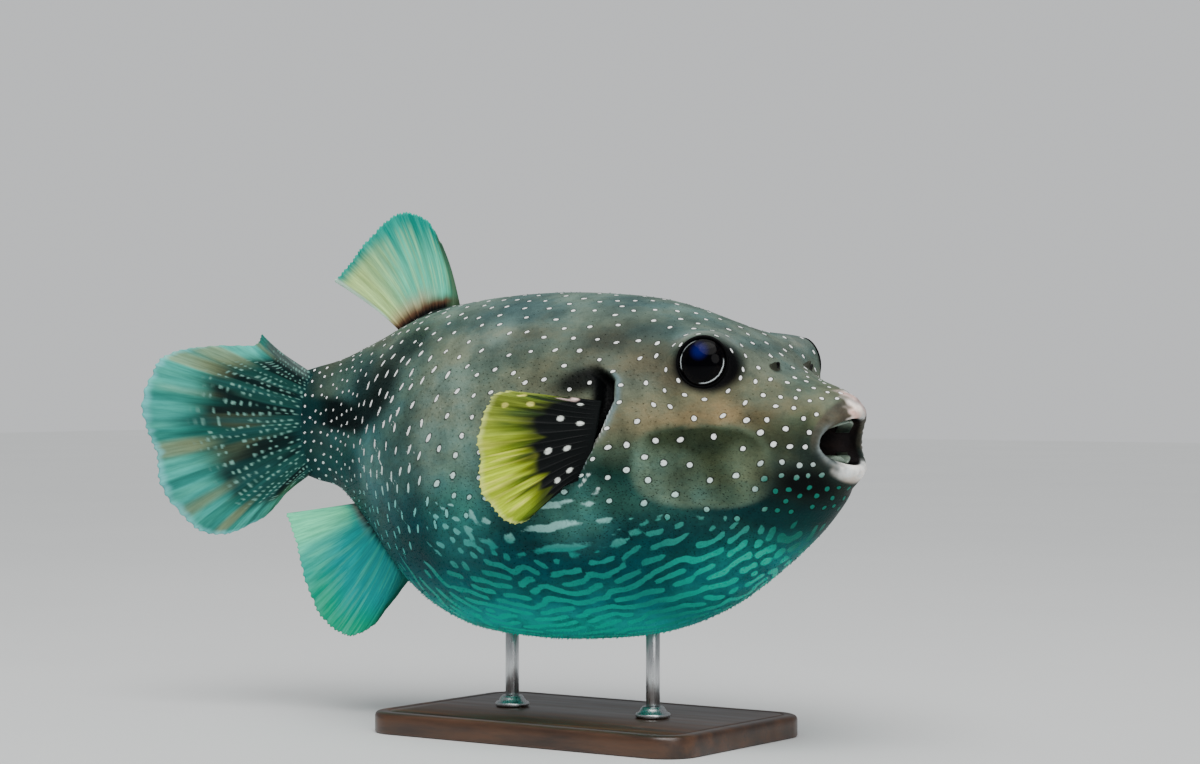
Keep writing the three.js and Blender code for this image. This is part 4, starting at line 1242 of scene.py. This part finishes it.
# Each fin's washes of colour, laid one over another: a colour and how much of it, at most 1.
def caudalWashes(a, r, streak, broad):
    out = smooth(0.56, 0.86, r + 0.25 * (broad - 0.5))
    # small pale spots in loose rows along the rays
    row = a * (fins["caudal_fin"]["rays"] * 2.6) + 0.7 * cloud(a * 40, r * 9, 10)
    odd = np.floor(row) % 2
    beads = np.mod(r * 21 + 0.45 * odd + 0.5 * cloud(np.floor(row) * 3.1, r * 5, 11), 1) - 0.5
    here = smooth(0.36, 0.46, cloud(np.floor(row) * 5.3, np.floor(r * 21) * 3.7, 3))
    here = here * smooth(0.78, 0.6, r + 0.12 * broad)
    dot = smooth(0.27, 0.14, np.hypot(np.mod(row, 1) - 0.5, beads * 1.05)) * here
    return (20, 64, 60), [
        ((60, 68, 52), 0.8 * smooth(0.45, 0.7, broad) * smooth(0.12, 0.35, r)),
        ((30, 78, 78), 0.6 * smooth(0.5, 0.7, cloud(a * 31, r * 1.2, 13)) * smooth(0.05, 0.3, r)),
        ((2, 22, 24), 0.92 * smooth(0.75, 0.5, r) * smooth(0.5, 0.66, cloud(a * 22, r * 1.3, 7))),
        ((62, 158, 146), out),
        ((60, 168, 160), 0.7 * out * smooth(0.5, 0.72, streak)),
        ((16, 88, 82), 0.6 * smooth(0.4, 0.65, r) * smooth(0.5, 0.7, cloud(a * 34, r * 1.6, 8))),
        ((140, 144, 104), 0.6 * smooth(0.45, 0.75, r) * smooth(0.62, 0.84, cloud(a * 19, r * 0.9, 9))),
        ((110, 200, 204), 0.7 * smooth(0.93, 1.0, r + 0.06 * (streak - 0.5)) * smooth(0.1, 0.3, a)),
        ((84, 100, 98), 0.85 * smooth(0.1, 0.03, a) * smooth(0.95, 0.7, r)),
        ((8, 34, 34), 0.85 * bell(a - 0.105, 0.014) * smooth(0.9, 0.5, r)),
        ((58, 104, 72), 0.6 * smooth(0.9, 0.97, a) * smooth(0.2, 0.5, r)),
        ((9, 50, 52), smooth(0.12, 0.02, r)),
        ((118, 168, 158), 0.85 * dot),
    ]


def dorsalWashes(a, r, streak, broad):
    return (84, 206, 176), [
        ((14, 158, 144), smooth(0.55, 0.95, r + 0.15 * (broad - 0.5))),
        ((150, 214, 160), 0.6 * smooth(0.5, 0.8, streak) * smooth(0.2, 0.4, r) * smooth(0.95, 0.8, r)),
        ((208, 236, 146), 0.8 * smooth(0.6, 0.9, a + 0.1 * (broad - 0.5)) * smooth(1.0, 0.85, r)),
        ((190, 168, 130), 0.8 * smooth(0.4, 0.22, r + 0.04 * (broad - 0.5)) * smooth(0.2, 0.6, a)),
        ((96, 66, 48), smooth(0.28, 0.16, r + 0.04 * (broad - 0.5))),
        ((6, 8, 8), smooth(0.2, 0.12, r + 0.02 * (streak - 0.5))),
        ((58, 82, 60), 0.9 * smooth(0.18, 0.03, a + 0.08 * (1 - r) * (broad - 0.6))),
        ((206, 244, 228), 0.85 * smooth(0.965, 0.985, a) * smooth(0.25, 0.35, r)),
    ]


def analWashes(a, r, streak, broad):
    return (8, 148, 150), [
        ((10, 150, 108), 0.85 * smooth(0.6, 0.95, r + 0.1 * (broad - 0.5)) * smooth(0.85, 0.6, a)),
        ((70, 176, 152), 0.4 * smooth(0.5, 0.8, streak)),
        ((106, 236, 184), 0.95 * smooth(0.72, 0.96, a + 0.12 * (broad - 0.5)) * smooth(0.15, 0.4, r)),
        ((2, 74, 62), 0.9 * smooth(0.34, 0.06, a)),
        ((124, 108, 98), 0.7 * smooth(0.3, 0.18, r) * smooth(0.6, 0.9, a)),
        ((3, 22, 24), smooth(0.24, 0.12, r + 0.05 * (streak - 0.5) - 0.14 * smooth(0.5, 0.1, a))),
    ]


# The black lobe at the root of a pectoral fin carries white spots, and its yellow part a few more, at (a, r).
pectoralSpots = {
    "white": [(0.1, 0.2), (0.34, 0.14), (0.3, 0.31), (0.56, 0.22), (0.54, 0.38), (0.78, 0.2), (0.8, 0.34)],
    "yellow": [(0.2, 0.62), (0.13, 0.78), (0.24, 0.84)],
}


def pectoralWashes(a, r, streak, broad):
    lobe = smooth(0.64, 0.44, r + 0.2 * (cloud(a * 26, r, 6) - 0.5) + 0.1 * smooth(0.3, 0.1, a))
    lobe = np.maximum(lobe, 0.85 * smooth(0.86, 0.56, r + 0.3 * cloud(a * 33, r * 0.8, 12)))
    lower = smooth(0.86, 0.95, a + 0.1 * (cloud(a * 20, r * 3, 14) - 0.5)) * smooth(1.02, 0.88, r)
    ahead = 0.8 * smooth(0.42, 0.3, a) * smooth(0.46, 0.66, cloud(a * 36, r * 1.4, 5)) * smooth(0.95, 0.7, r)
    rim = 0.95 * smooth(0.085, 0.045, a) * smooth(0.24, 0.3, r) * smooth(0.46, 0.4, r + 0.2 * (streak - 0.5))
    washes = [
        ((112, 126, 48), 0.9 * smooth(0.5, 0.3, a)),
        ((50, 84, 20), 0.9 * smooth(0.74, 0.9, a)),
        ((226, 228, 96), 0.6 * smooth(0.58, 0.8, streak) * smooth(0.9, 0.8, a) * smooth(0.2, 0.5, a)),
        ((70, 92, 20), 0.9 * smooth(0.44, 0.62, cloud(a * 30, r * 1.5, 4)) * smooth(0.98, 0.6, r)),
        ((52, 76, 38), ahead),
        ((214, 224, 130), 0.6 * smooth(0.93, 1.0, r)),
        ((5, 9, 10), np.maximum(lobe, lower)),
        ((232, 204, 200), rim),
    ]
    for spotA, spotR in pectoralSpots["white"]:
        far = np.hypot((a - spotA) * 44, (r - spotR) * 36)
        washes.append(((236, 242, 238), 0.95 * smooth(1.25, 0.8, far)))
    for spotA, spotR in pectoralSpots["yellow"]:
        far = np.hypot((a - spotA) * 44, (r - spotR) * 30)
        washes.append(((236, 230, 120), 0.8 * smooth(1.3, 0.7, far)))
    return (176, 198, 36), washes


finWashes = {"caudal_fin": caudalWashes, "dorsal_fin": dorsalWashes, "anal_fin": analWashes,
             "pectoral_fin_right": pectoralWashes, "pectoral_fin_left": pectoralWashes}


def finColour(name, a, r):
    streak = cloud(a * 60, r * 3 + 5, 1)
    broad = cloud(a * 14, r * 2, 2)
    ground, washes = finWashes[name](a, r, streak, broad)
    base = np.repeat(paint(*ground)[None], a.size, 0)
    for colour, amount in washes:
        base = blendIn(base, colour, np.clip(amount, 0, 1).ravel())
    return base


def finPiece(name):
    fin = fins[name]
    a, r, ridge, sheet, normal, half = finGrid(fin)
    front, back = sheet + normal * half[..., None], sheet - normal * half[..., None]
    ring = np.concatenate([front, back[:, -2:0:-1]], 1)
    piece = addPiece(name + "_blade", ring, gridFaces(*ring.shape[:2], closed=True))
    both = [np.concatenate([layer, layer[:, -2:0:-1]], 1) for layer in (a, r, ridge)]
    store(piece, "tint", finColour(name, *both[:2]), "FLOAT_COLOR")
    store(piece, "ray", np.stack([layer.ravel() for layer in both], -1), "FLOAT_VECTOR")
    shell = bmesh.new()
    shell.from_mesh(piece.data)
    bmesh.ops.remove_doubles(shell, verts=shell.verts, dist=2e-6)
    bmesh.ops.recalc_face_normals(shell, faces=shell.faces)
    shell.to_mesh(piece.data)
    shell.free()
    piece.data.materials.append(finLook)
    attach(piece, "root")
    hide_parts(name)
    print("  ", name, len(piece.data.polygons))


def finMaterial():
    material, n, shader = newMaterial("finMembrane", Roughness=0.5, Specular_IOR_Level=0.1)
    across, toMargin, ridge = n.parts("ray")
    lengthways = n.plane(n.math("MULTIPLY", across, 60.0), n.math("MULTIPLY", toMargin, 2.2))
    streaks = n.noise(lengthways, 1.6, 4.0, 0.6)
    crossways = n.plane(n.math("MULTIPLY", across, 30.0), n.math("MULTIPLY", toMargin, 60.0))
    segments = n.noise(crossways, 1.0, 2.0)
    streaked = n.mix(n.fade(streaks, 0.3, 0.7), (0.8, 0.82, 0.8, 1), (1.18, 1.18, 1.14, 1))
    base = n.multiply(n.layer("tint"), streaked)
    # rays lighter: their paler colour and a painted highlight on each raised ray
    base = n.mix(ridge, base, n.multiply(base, (1.2, 1.18, 1.14, 1)))
    n.feed(shader.inputs["Base Color"], base)
    height = n.math("ADD", n.math("MULTIPLY", streaks, 0.7), n.math("MULTIPLY", segments, 0.4))
    n.bump(shader, height, 0.4, 0.0004)
    return material


print("fins")
finLook = finMaterial()
for finName in fins:
    finPiece(finName)

# Sizes in metres. map is the size of a prickle's own patch on the hide's unwrap.
prickles = {
    "spacing": 0.0023, "tall": 0.00095, "radius": 0.00026, "lean": 1.1, "seed": 7,
    "perSquareMetre": 260000.0, "smallest": 0.65, "largest": 1.25, "sides": 6, "map": 0.003,
}


# Cones scattered over the rough parts of a mesh. Returns the tree and its sockets' identifiers.
def prickleTree():
    tree = bpy.data.node_groups.new("scatterPrickles", "GeometryNodeTree")
    tree.interface.new_socket("Geometry", in_out="INPUT", socket_type="NodeSocketGeometry")
    kinds = {"Spacing": "Float", "Tall": "Float", "Radius": "Float", "Lean": "Float", "Seed": "Int",
             "Finish": "Material"}
    sockets = {}
    for key, kind in kinds.items():
        socket = tree.interface.new_socket(key, in_out="INPUT", socket_type="NodeSocket" + kind)
        sockets[key] = socket.identifier
    tree.interface.new_socket("Geometry", in_out="OUTPUT", socket_type="NodeSocketGeometry")
    n = Nodes(tree)
    given, out = n.add("NodeGroupInput").outputs, n.add("NodeGroupOutput")

    def named(name, kind):
        return n.add("GeometryNodeInputNamedAttribute", {"Name": name}, data_type=kind).outputs["Attribute"]

    def vectorMath(operation, values):
        return n.add("ShaderNodeVectorMath", values, operation=operation).outputs[0]

    rough = named("rough", "FLOAT")
    scatter = n.add("GeometryNodeDistributePointsOnFaces", {
        "Mesh": given["Geometry"], "Distance Min": given["Spacing"], "Density Factor": rough,
        "Density Max": prickles["perSquareMetre"], "Seed": given["Seed"],
    }, distribute_method="POISSON").outputs
    # each prickle leans back along the body
    back = vectorMath("SCALE", {0: (-1.0, 0.0, -0.15), 3: given["Lean"]})
    way = vectorMath("ADD", {0: scatter["Normal"], 1: back})
    turn = n.add("FunctionNodeAlignRotationToVector", {"Vector": way}, axis="Z").outputs[0]
    cone = n.add("GeometryNodeMeshCone", {
        "Vertices": prickles["sides"], "Side Segments": 2, "Radius Top": 0.0,
        "Radius Bottom": given["Radius"], "Depth": given["Tall"]}, fill_type="NGON").outputs["Mesh"]
    local = n.add("GeometryNodeStoreNamedAttribute", {"Geometry": cone, "Name": "local"},
                  data_type="FLOAT_VECTOR", domain="POINT")
    n.feed(local.inputs["Value"], n.add("GeometryNodeInputPosition").outputs[0])
    sizeRange = {2: prickles["smallest"], 3: prickles["largest"], 8: 11}
    size = n.add("FunctionNodeRandomValue", sizeRange, data_type="FLOAT").outputs[1]
    size = n.math("MULTIPLY", size, n.math("MULTIPLY_ADD", rough, 0.5, 0.5))
    spread = n.add("GeometryNodeInstanceOnPoints", {
        "Points": scatter["Points"], "Instance": local.outputs[0], "Rotation": turn,
        "Scale": n.add("ShaderNodeCombineXYZ", {0: size, 1: size, 2: size}).outputs[0]})
    whole = n.add("GeometryNodeRealizeInstances", {"Geometry": spread.outputs[0]}).outputs[0]
    # a map: a small patch at each prickle's root on the hide's own unwrap
    mapScale = prickles["map"] / (2 * prickles["radius"])
    patch = vectorMath("SCALE", {0: named("local", "FLOAT_VECTOR"), 3: mapScale})
    mapped = n.add("GeometryNodeStoreNamedAttribute", {"Geometry": whole, "Name": "OFBake"},
                   data_type="FLOAT2", domain="CORNER")
    n.feed(mapped.inputs["Value"], vectorMath("ADD", {0: named("chart", "FLOAT_VECTOR"), 1: patch}))
    shaded = n.add("GeometryNodeSetMaterial", {"Geometry": mapped.outputs[0], "Material": given["Finish"]})
    n.feed(out.inputs[0], shaded.outputs[0])
    return tree, sockets


def growPrickles():
    tree, sockets = prickleTree()
    base = bpy.data.objects.new("prickleBase", hidePiece.data.copy())
    bpy.context.scene.collection.objects.link(base)
    modifier = base.modifiers.new("prickles", "NODES")
    modifier.node_group = tree
    for key in ("spacing", "tall", "radius", "lean", "seed"):
        modifier[sockets[key.capitalize()]] = prickles[key]
    modifier[sockets["Finish"]] = prickleLook
    grown = base.evaluated_get(bpy.context.evaluated_depsgraph_get())
    mesh = bpy.data.meshes.new_from_object(grown)
    piece = bpy.data.objects.new("prickles", mesh)
    bpy.context.scene.collection.objects.link(piece)
    bpy.data.objects.remove(base)
    mesh.shade_smooth()
    for name in ("local", "rough", "pits", "chart"):
        if name in mesh.attributes:
            mesh.attributes.remove(mesh.attributes[name])
    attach(piece, "root")
    print("  prickle faces:", len(mesh.polygons))


print("prickles")
prickleLook = hideMaterial("prickleHorn", 0.2)
growPrickles()

# The board, its two rods and their collars, in millimetres over the floor.
stand = {
    "length": 176, "width": 112, "thick": 10, "corner": 16, "edge": 2.4, "groove": 0.5,
    "rodRadius": 3.2, "rodX": (38, -42), "rodTop": 58, "collarRadius": 8, "collarTall": 5, "gap": 0.3,
}


# A profile of (radius, height) turned round an upright axis at x. It is closed where it ends as it begins.
def lathe(name, profile, x, sides=64):
    turn = np.linspace(0, 2 * math.pi, sides, endpoint=False)[None]
    radius, height = (column[:, None] for column in np.array(profile, float).T)
    points = np.stack([x + radius * np.cos(turn), radius * np.sin(turn), height + 0 * turn], -1)
    faces = gridFaces(len(profile), sides, closed=True).tolist()
    if profile[0] != profile[-1]:
        last = (len(profile) - 1) * sides
        faces += [list(range(sides))[::-1], list(range(last, last + sides))]
    else:
        points = points[:-1]
        faces = (np.array(faces) % ((len(profile) - 1) * sides)).tolist()
    return addPiece(name, points, faces, 0)


# The board with rounded corners and edges and a groove along its top.
def standBase():
    edge, thick, sunk = stand["edge"], stand["thick"], stand["thick"] - stand["groove"]
    profile = [(edge, 0), (1.0, 0.05), (0.3, 0.3), (0, 0.9), (0, thick - 2.0), (0.35, thick - 1.0),
               (0.9, thick - 0.45), (1.6, thick - 0.15), (edge, thick), (6.0, thick), (6.4, sunk),
               (7.0, sunk), (7.4, thick)]
    around = 128
    turn = np.linspace(0, 2 * math.pi, around, endpoint=False)
    half = np.array([stand["length"], stand["width"]]) / 2
    quarter = np.stack([np.sign(np.cos(turn + 1e-4)), np.sign(np.sin(turn + 1e-4))], -1)
    centre = quarter * (half - stand["corner"])
    way = np.stack([np.cos(turn), np.sin(turn)], -1)
    rings = [np.concatenate([centre + way * (stand["corner"] - inset), np.full((around, 1), height)], 1)
             for inset, height in profile]
    faces = gridFaces(len(rings), around, closed=True).tolist()
    last = (len(rings) - 1) * around
    faces += [list(range(around))[::-1], list(range(last, last + around))]
    return addPiece("base_board", np.array(rings), faces, 0)


def woodMaterial():
    material, n, shader = newMaterial("darkWood", Roughness=0.38, Specular_IOR_Level=0.45,
                                      Coat_Weight=0.25, Coat_Roughness=0.2)
    grain = n.noise(n.place((1.0, 9.0, 9.0)), 14.0, 6.0, 0.65)
    ringPlace = {"Vector": n.place((0.35, 1.0, 1.0)), "Scale": 22.0, "Distortion": 5.0, "Detail": 3.0}
    rings = n.add("ShaderNodeTexWave", ringPlace, bands_direction="Y").outputs["Fac"]
    base = n.mix(n.fade(grain, 0.3, 0.7), rgba(46, 30, 20), rgba(86, 56, 36))
    base = n.mix(n.math("MULTIPLY", rings, 0.45), base, rgba(34, 22, 15))
    n.feed(shader.inputs["Base Color"], base)
    n.feed(shader.inputs["Roughness"], n.fade(grain, 0.2, 0.8, 0.32, 0.5))
    n.bump(shader, grain, 0.2, 0.0003)
    return material


def steelMaterial():
    material, n, shader = newMaterial("brushedSteel", Roughness=0.3, Metallic=1.0)
    brushed = n.noise(n.place((60.0, 60.0, 4.0)), 30.0, 3.0)
    n.feed(shader.inputs["Base Color"], n.mix(brushed, rgba(188, 190, 192), rgba(206, 208, 210)))
    n.feed(shader.inputs["Roughness"], n.fade(brushed, 0.2, 0.8, 0.22, 0.38))
    return material


def standPieces():
    wood, steel = woodMaterial(), steelMaterial()
    board = standBase()
    board.data.materials.append(wood)
    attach(board, "root")
    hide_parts("stand_base")
    rod, rodTop, foot = stand["rodRadius"], stand["rodTop"], stand["thick"] + stand["gap"]
    inner, wide, top = rod + stand["gap"], stand["collarRadius"], foot + stand["collarTall"]
    rodProfile = [(rod - 0.4, foot), (rod, foot + 0.4), (rod, 30), (rod, rodTop - 0.6), (rod - 0.6, rodTop)]
    collarProfile = [(inner, foot), (wide - 0.4, foot), (wide, foot + 0.4), (wide, foot + 1.5),
                     (wide - 0.3, foot + 1.9), (wide - 1.6, foot + 2.5), (inner + 2.3, foot + 3.6),
                     (inner + 1.7, top - 0.5), (inner + 1.2, top), (inner + 0.3, top), (inner, top - 0.3),
                     (inner, foot)]
    for x, word in zip(stand["rodX"], ("front", "rear")):
        upright = lathe("rod_" + word, rodProfile, x)
        collar = lathe("collar_" + word, collarProfile, x)
        for piece, node in ((upright, "stand_rod_"), (collar, "stand_collar_")):
            piece.data.materials.append(steel)
            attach(piece, "root")
            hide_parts(node + word)


print("stand")
standPieces()


# A wide pale floor.
def stageFloor():
    halfWidth, lines = 6000, 25
    across = np.linspace(-halfWidth, halfWidth, lines)
    u, v = np.meshgrid(across, across, indexing="ij")
    points = np.stack([u, v, np.zeros_like(u)], -1)
    floor = addPiece("floor", points, gridFaces(lines, lines, flip=True), 0)
    material, n, shader = newMaterial("paleFloor", Roughness=0.7)
    soft = n.noise(n.place(), 3.0, 3.0)
    n.feed(shader.inputs["Base Color"], n.mix(soft, rgba(214, 216, 217), rgba(222, 224, 224)))
    floor.data.materials.append(material)


# The key light is a wide sun, and the others are discs; spread is its angle or their size in metres.
studio = {
    "aim": (-0.03, 0, 0.15), "fill": 0.34, "backdrop": 0.72,
    "key": {"place": (0.45, -0.75, 1.5), "power": 2.5, "colour": (1.0, 0.99, 0.97),
            "spread": math.radians(50)},
    "overhead": {"place": (0.1, -0.3, 1.3), "power": 9, "colour": (1.0, 0.99, 0.97), "spread": 1.2},
    "front": {"place": (1.5, -1.0, 0.8), "power": 6, "colour": (1.0, 0.99, 0.98), "spread": 0.9},
}


def addLight(name, kind):
    light = studio[name]
    data = bpy.data.lights.new(name, kind)
    data.energy, data.color = light["power"], light["colour"]
    if kind == "AREA":
        data.shape, data.size = "DISK", light["spread"]
    else:
        data.angle = light["spread"]
    lamp = bpy.data.objects.new(name, data)
    lamp.location = light["place"]
    aim = Vector(studio["aim"]) - Vector(light["place"])
    lamp.rotation_euler = aim.to_track_quat("-Z", "Y").to_euler()
    bpy.context.scene.collection.objects.link(lamp)


# The room lights the fish softly, and the camera sees it as bright as the far floor.
def roomWorld():
    world = bpy.data.worlds.new("paleRoom")
    world.use_nodes = True
    n = Nodes(world.node_tree)
    fill = world.node_tree.nodes["Background"]
    fill.inputs["Color"].default_value = rgba(236, 240, 244)
    fill.inputs["Strength"].default_value = studio["fill"]
    seen = n.add("ShaderNodeBackground", {"Color": rgba(250, 252, 254), "Strength": studio["backdrop"]})
    choice = n.add("ShaderNodeMixShader", {0: n.add("ShaderNodeLightPath").outputs["Is Camera Ray"],
                                           1: fill.outputs[0], 2: seen.outputs[0]})
    n.feed(world.node_tree.nodes["World Output"].inputs["Surface"], choice.outputs[0])
    bpy.context.scene.world = world


# The camera stands level, turned from the fish's right side toward its head.
view = {"turn": math.radians(35), "distance": 1.3, "ahead": 0.007, "height": 0.163,
        "lens": 84.15, "sensor": 36, "nearest": 0.02}


def addCamera():
    data = bpy.data.cameras.new("camera")
    data.lens, data.sensor_width, data.clip_start = view["lens"], view["sensor"], view["nearest"]
    camera = bpy.data.objects.new("camera", data)
    c, s = math.cos(view["turn"]), math.sin(view["turn"])
    camera.location = (view["ahead"] * c + view["distance"] * s, view["ahead"] * s - view["distance"] * c,
                       view["height"])
    camera.rotation_euler = (math.pi / 2, 0, view["turn"])
    bpy.context.scene.collection.objects.link(camera)
    bpy.context.scene.camera = camera


print("floor, lights and camera")
stageFloor()
addLight("key", "SUN")
addLight("overhead", "AREA")
addLight("front", "AREA")
roomWorld()
addCamera()
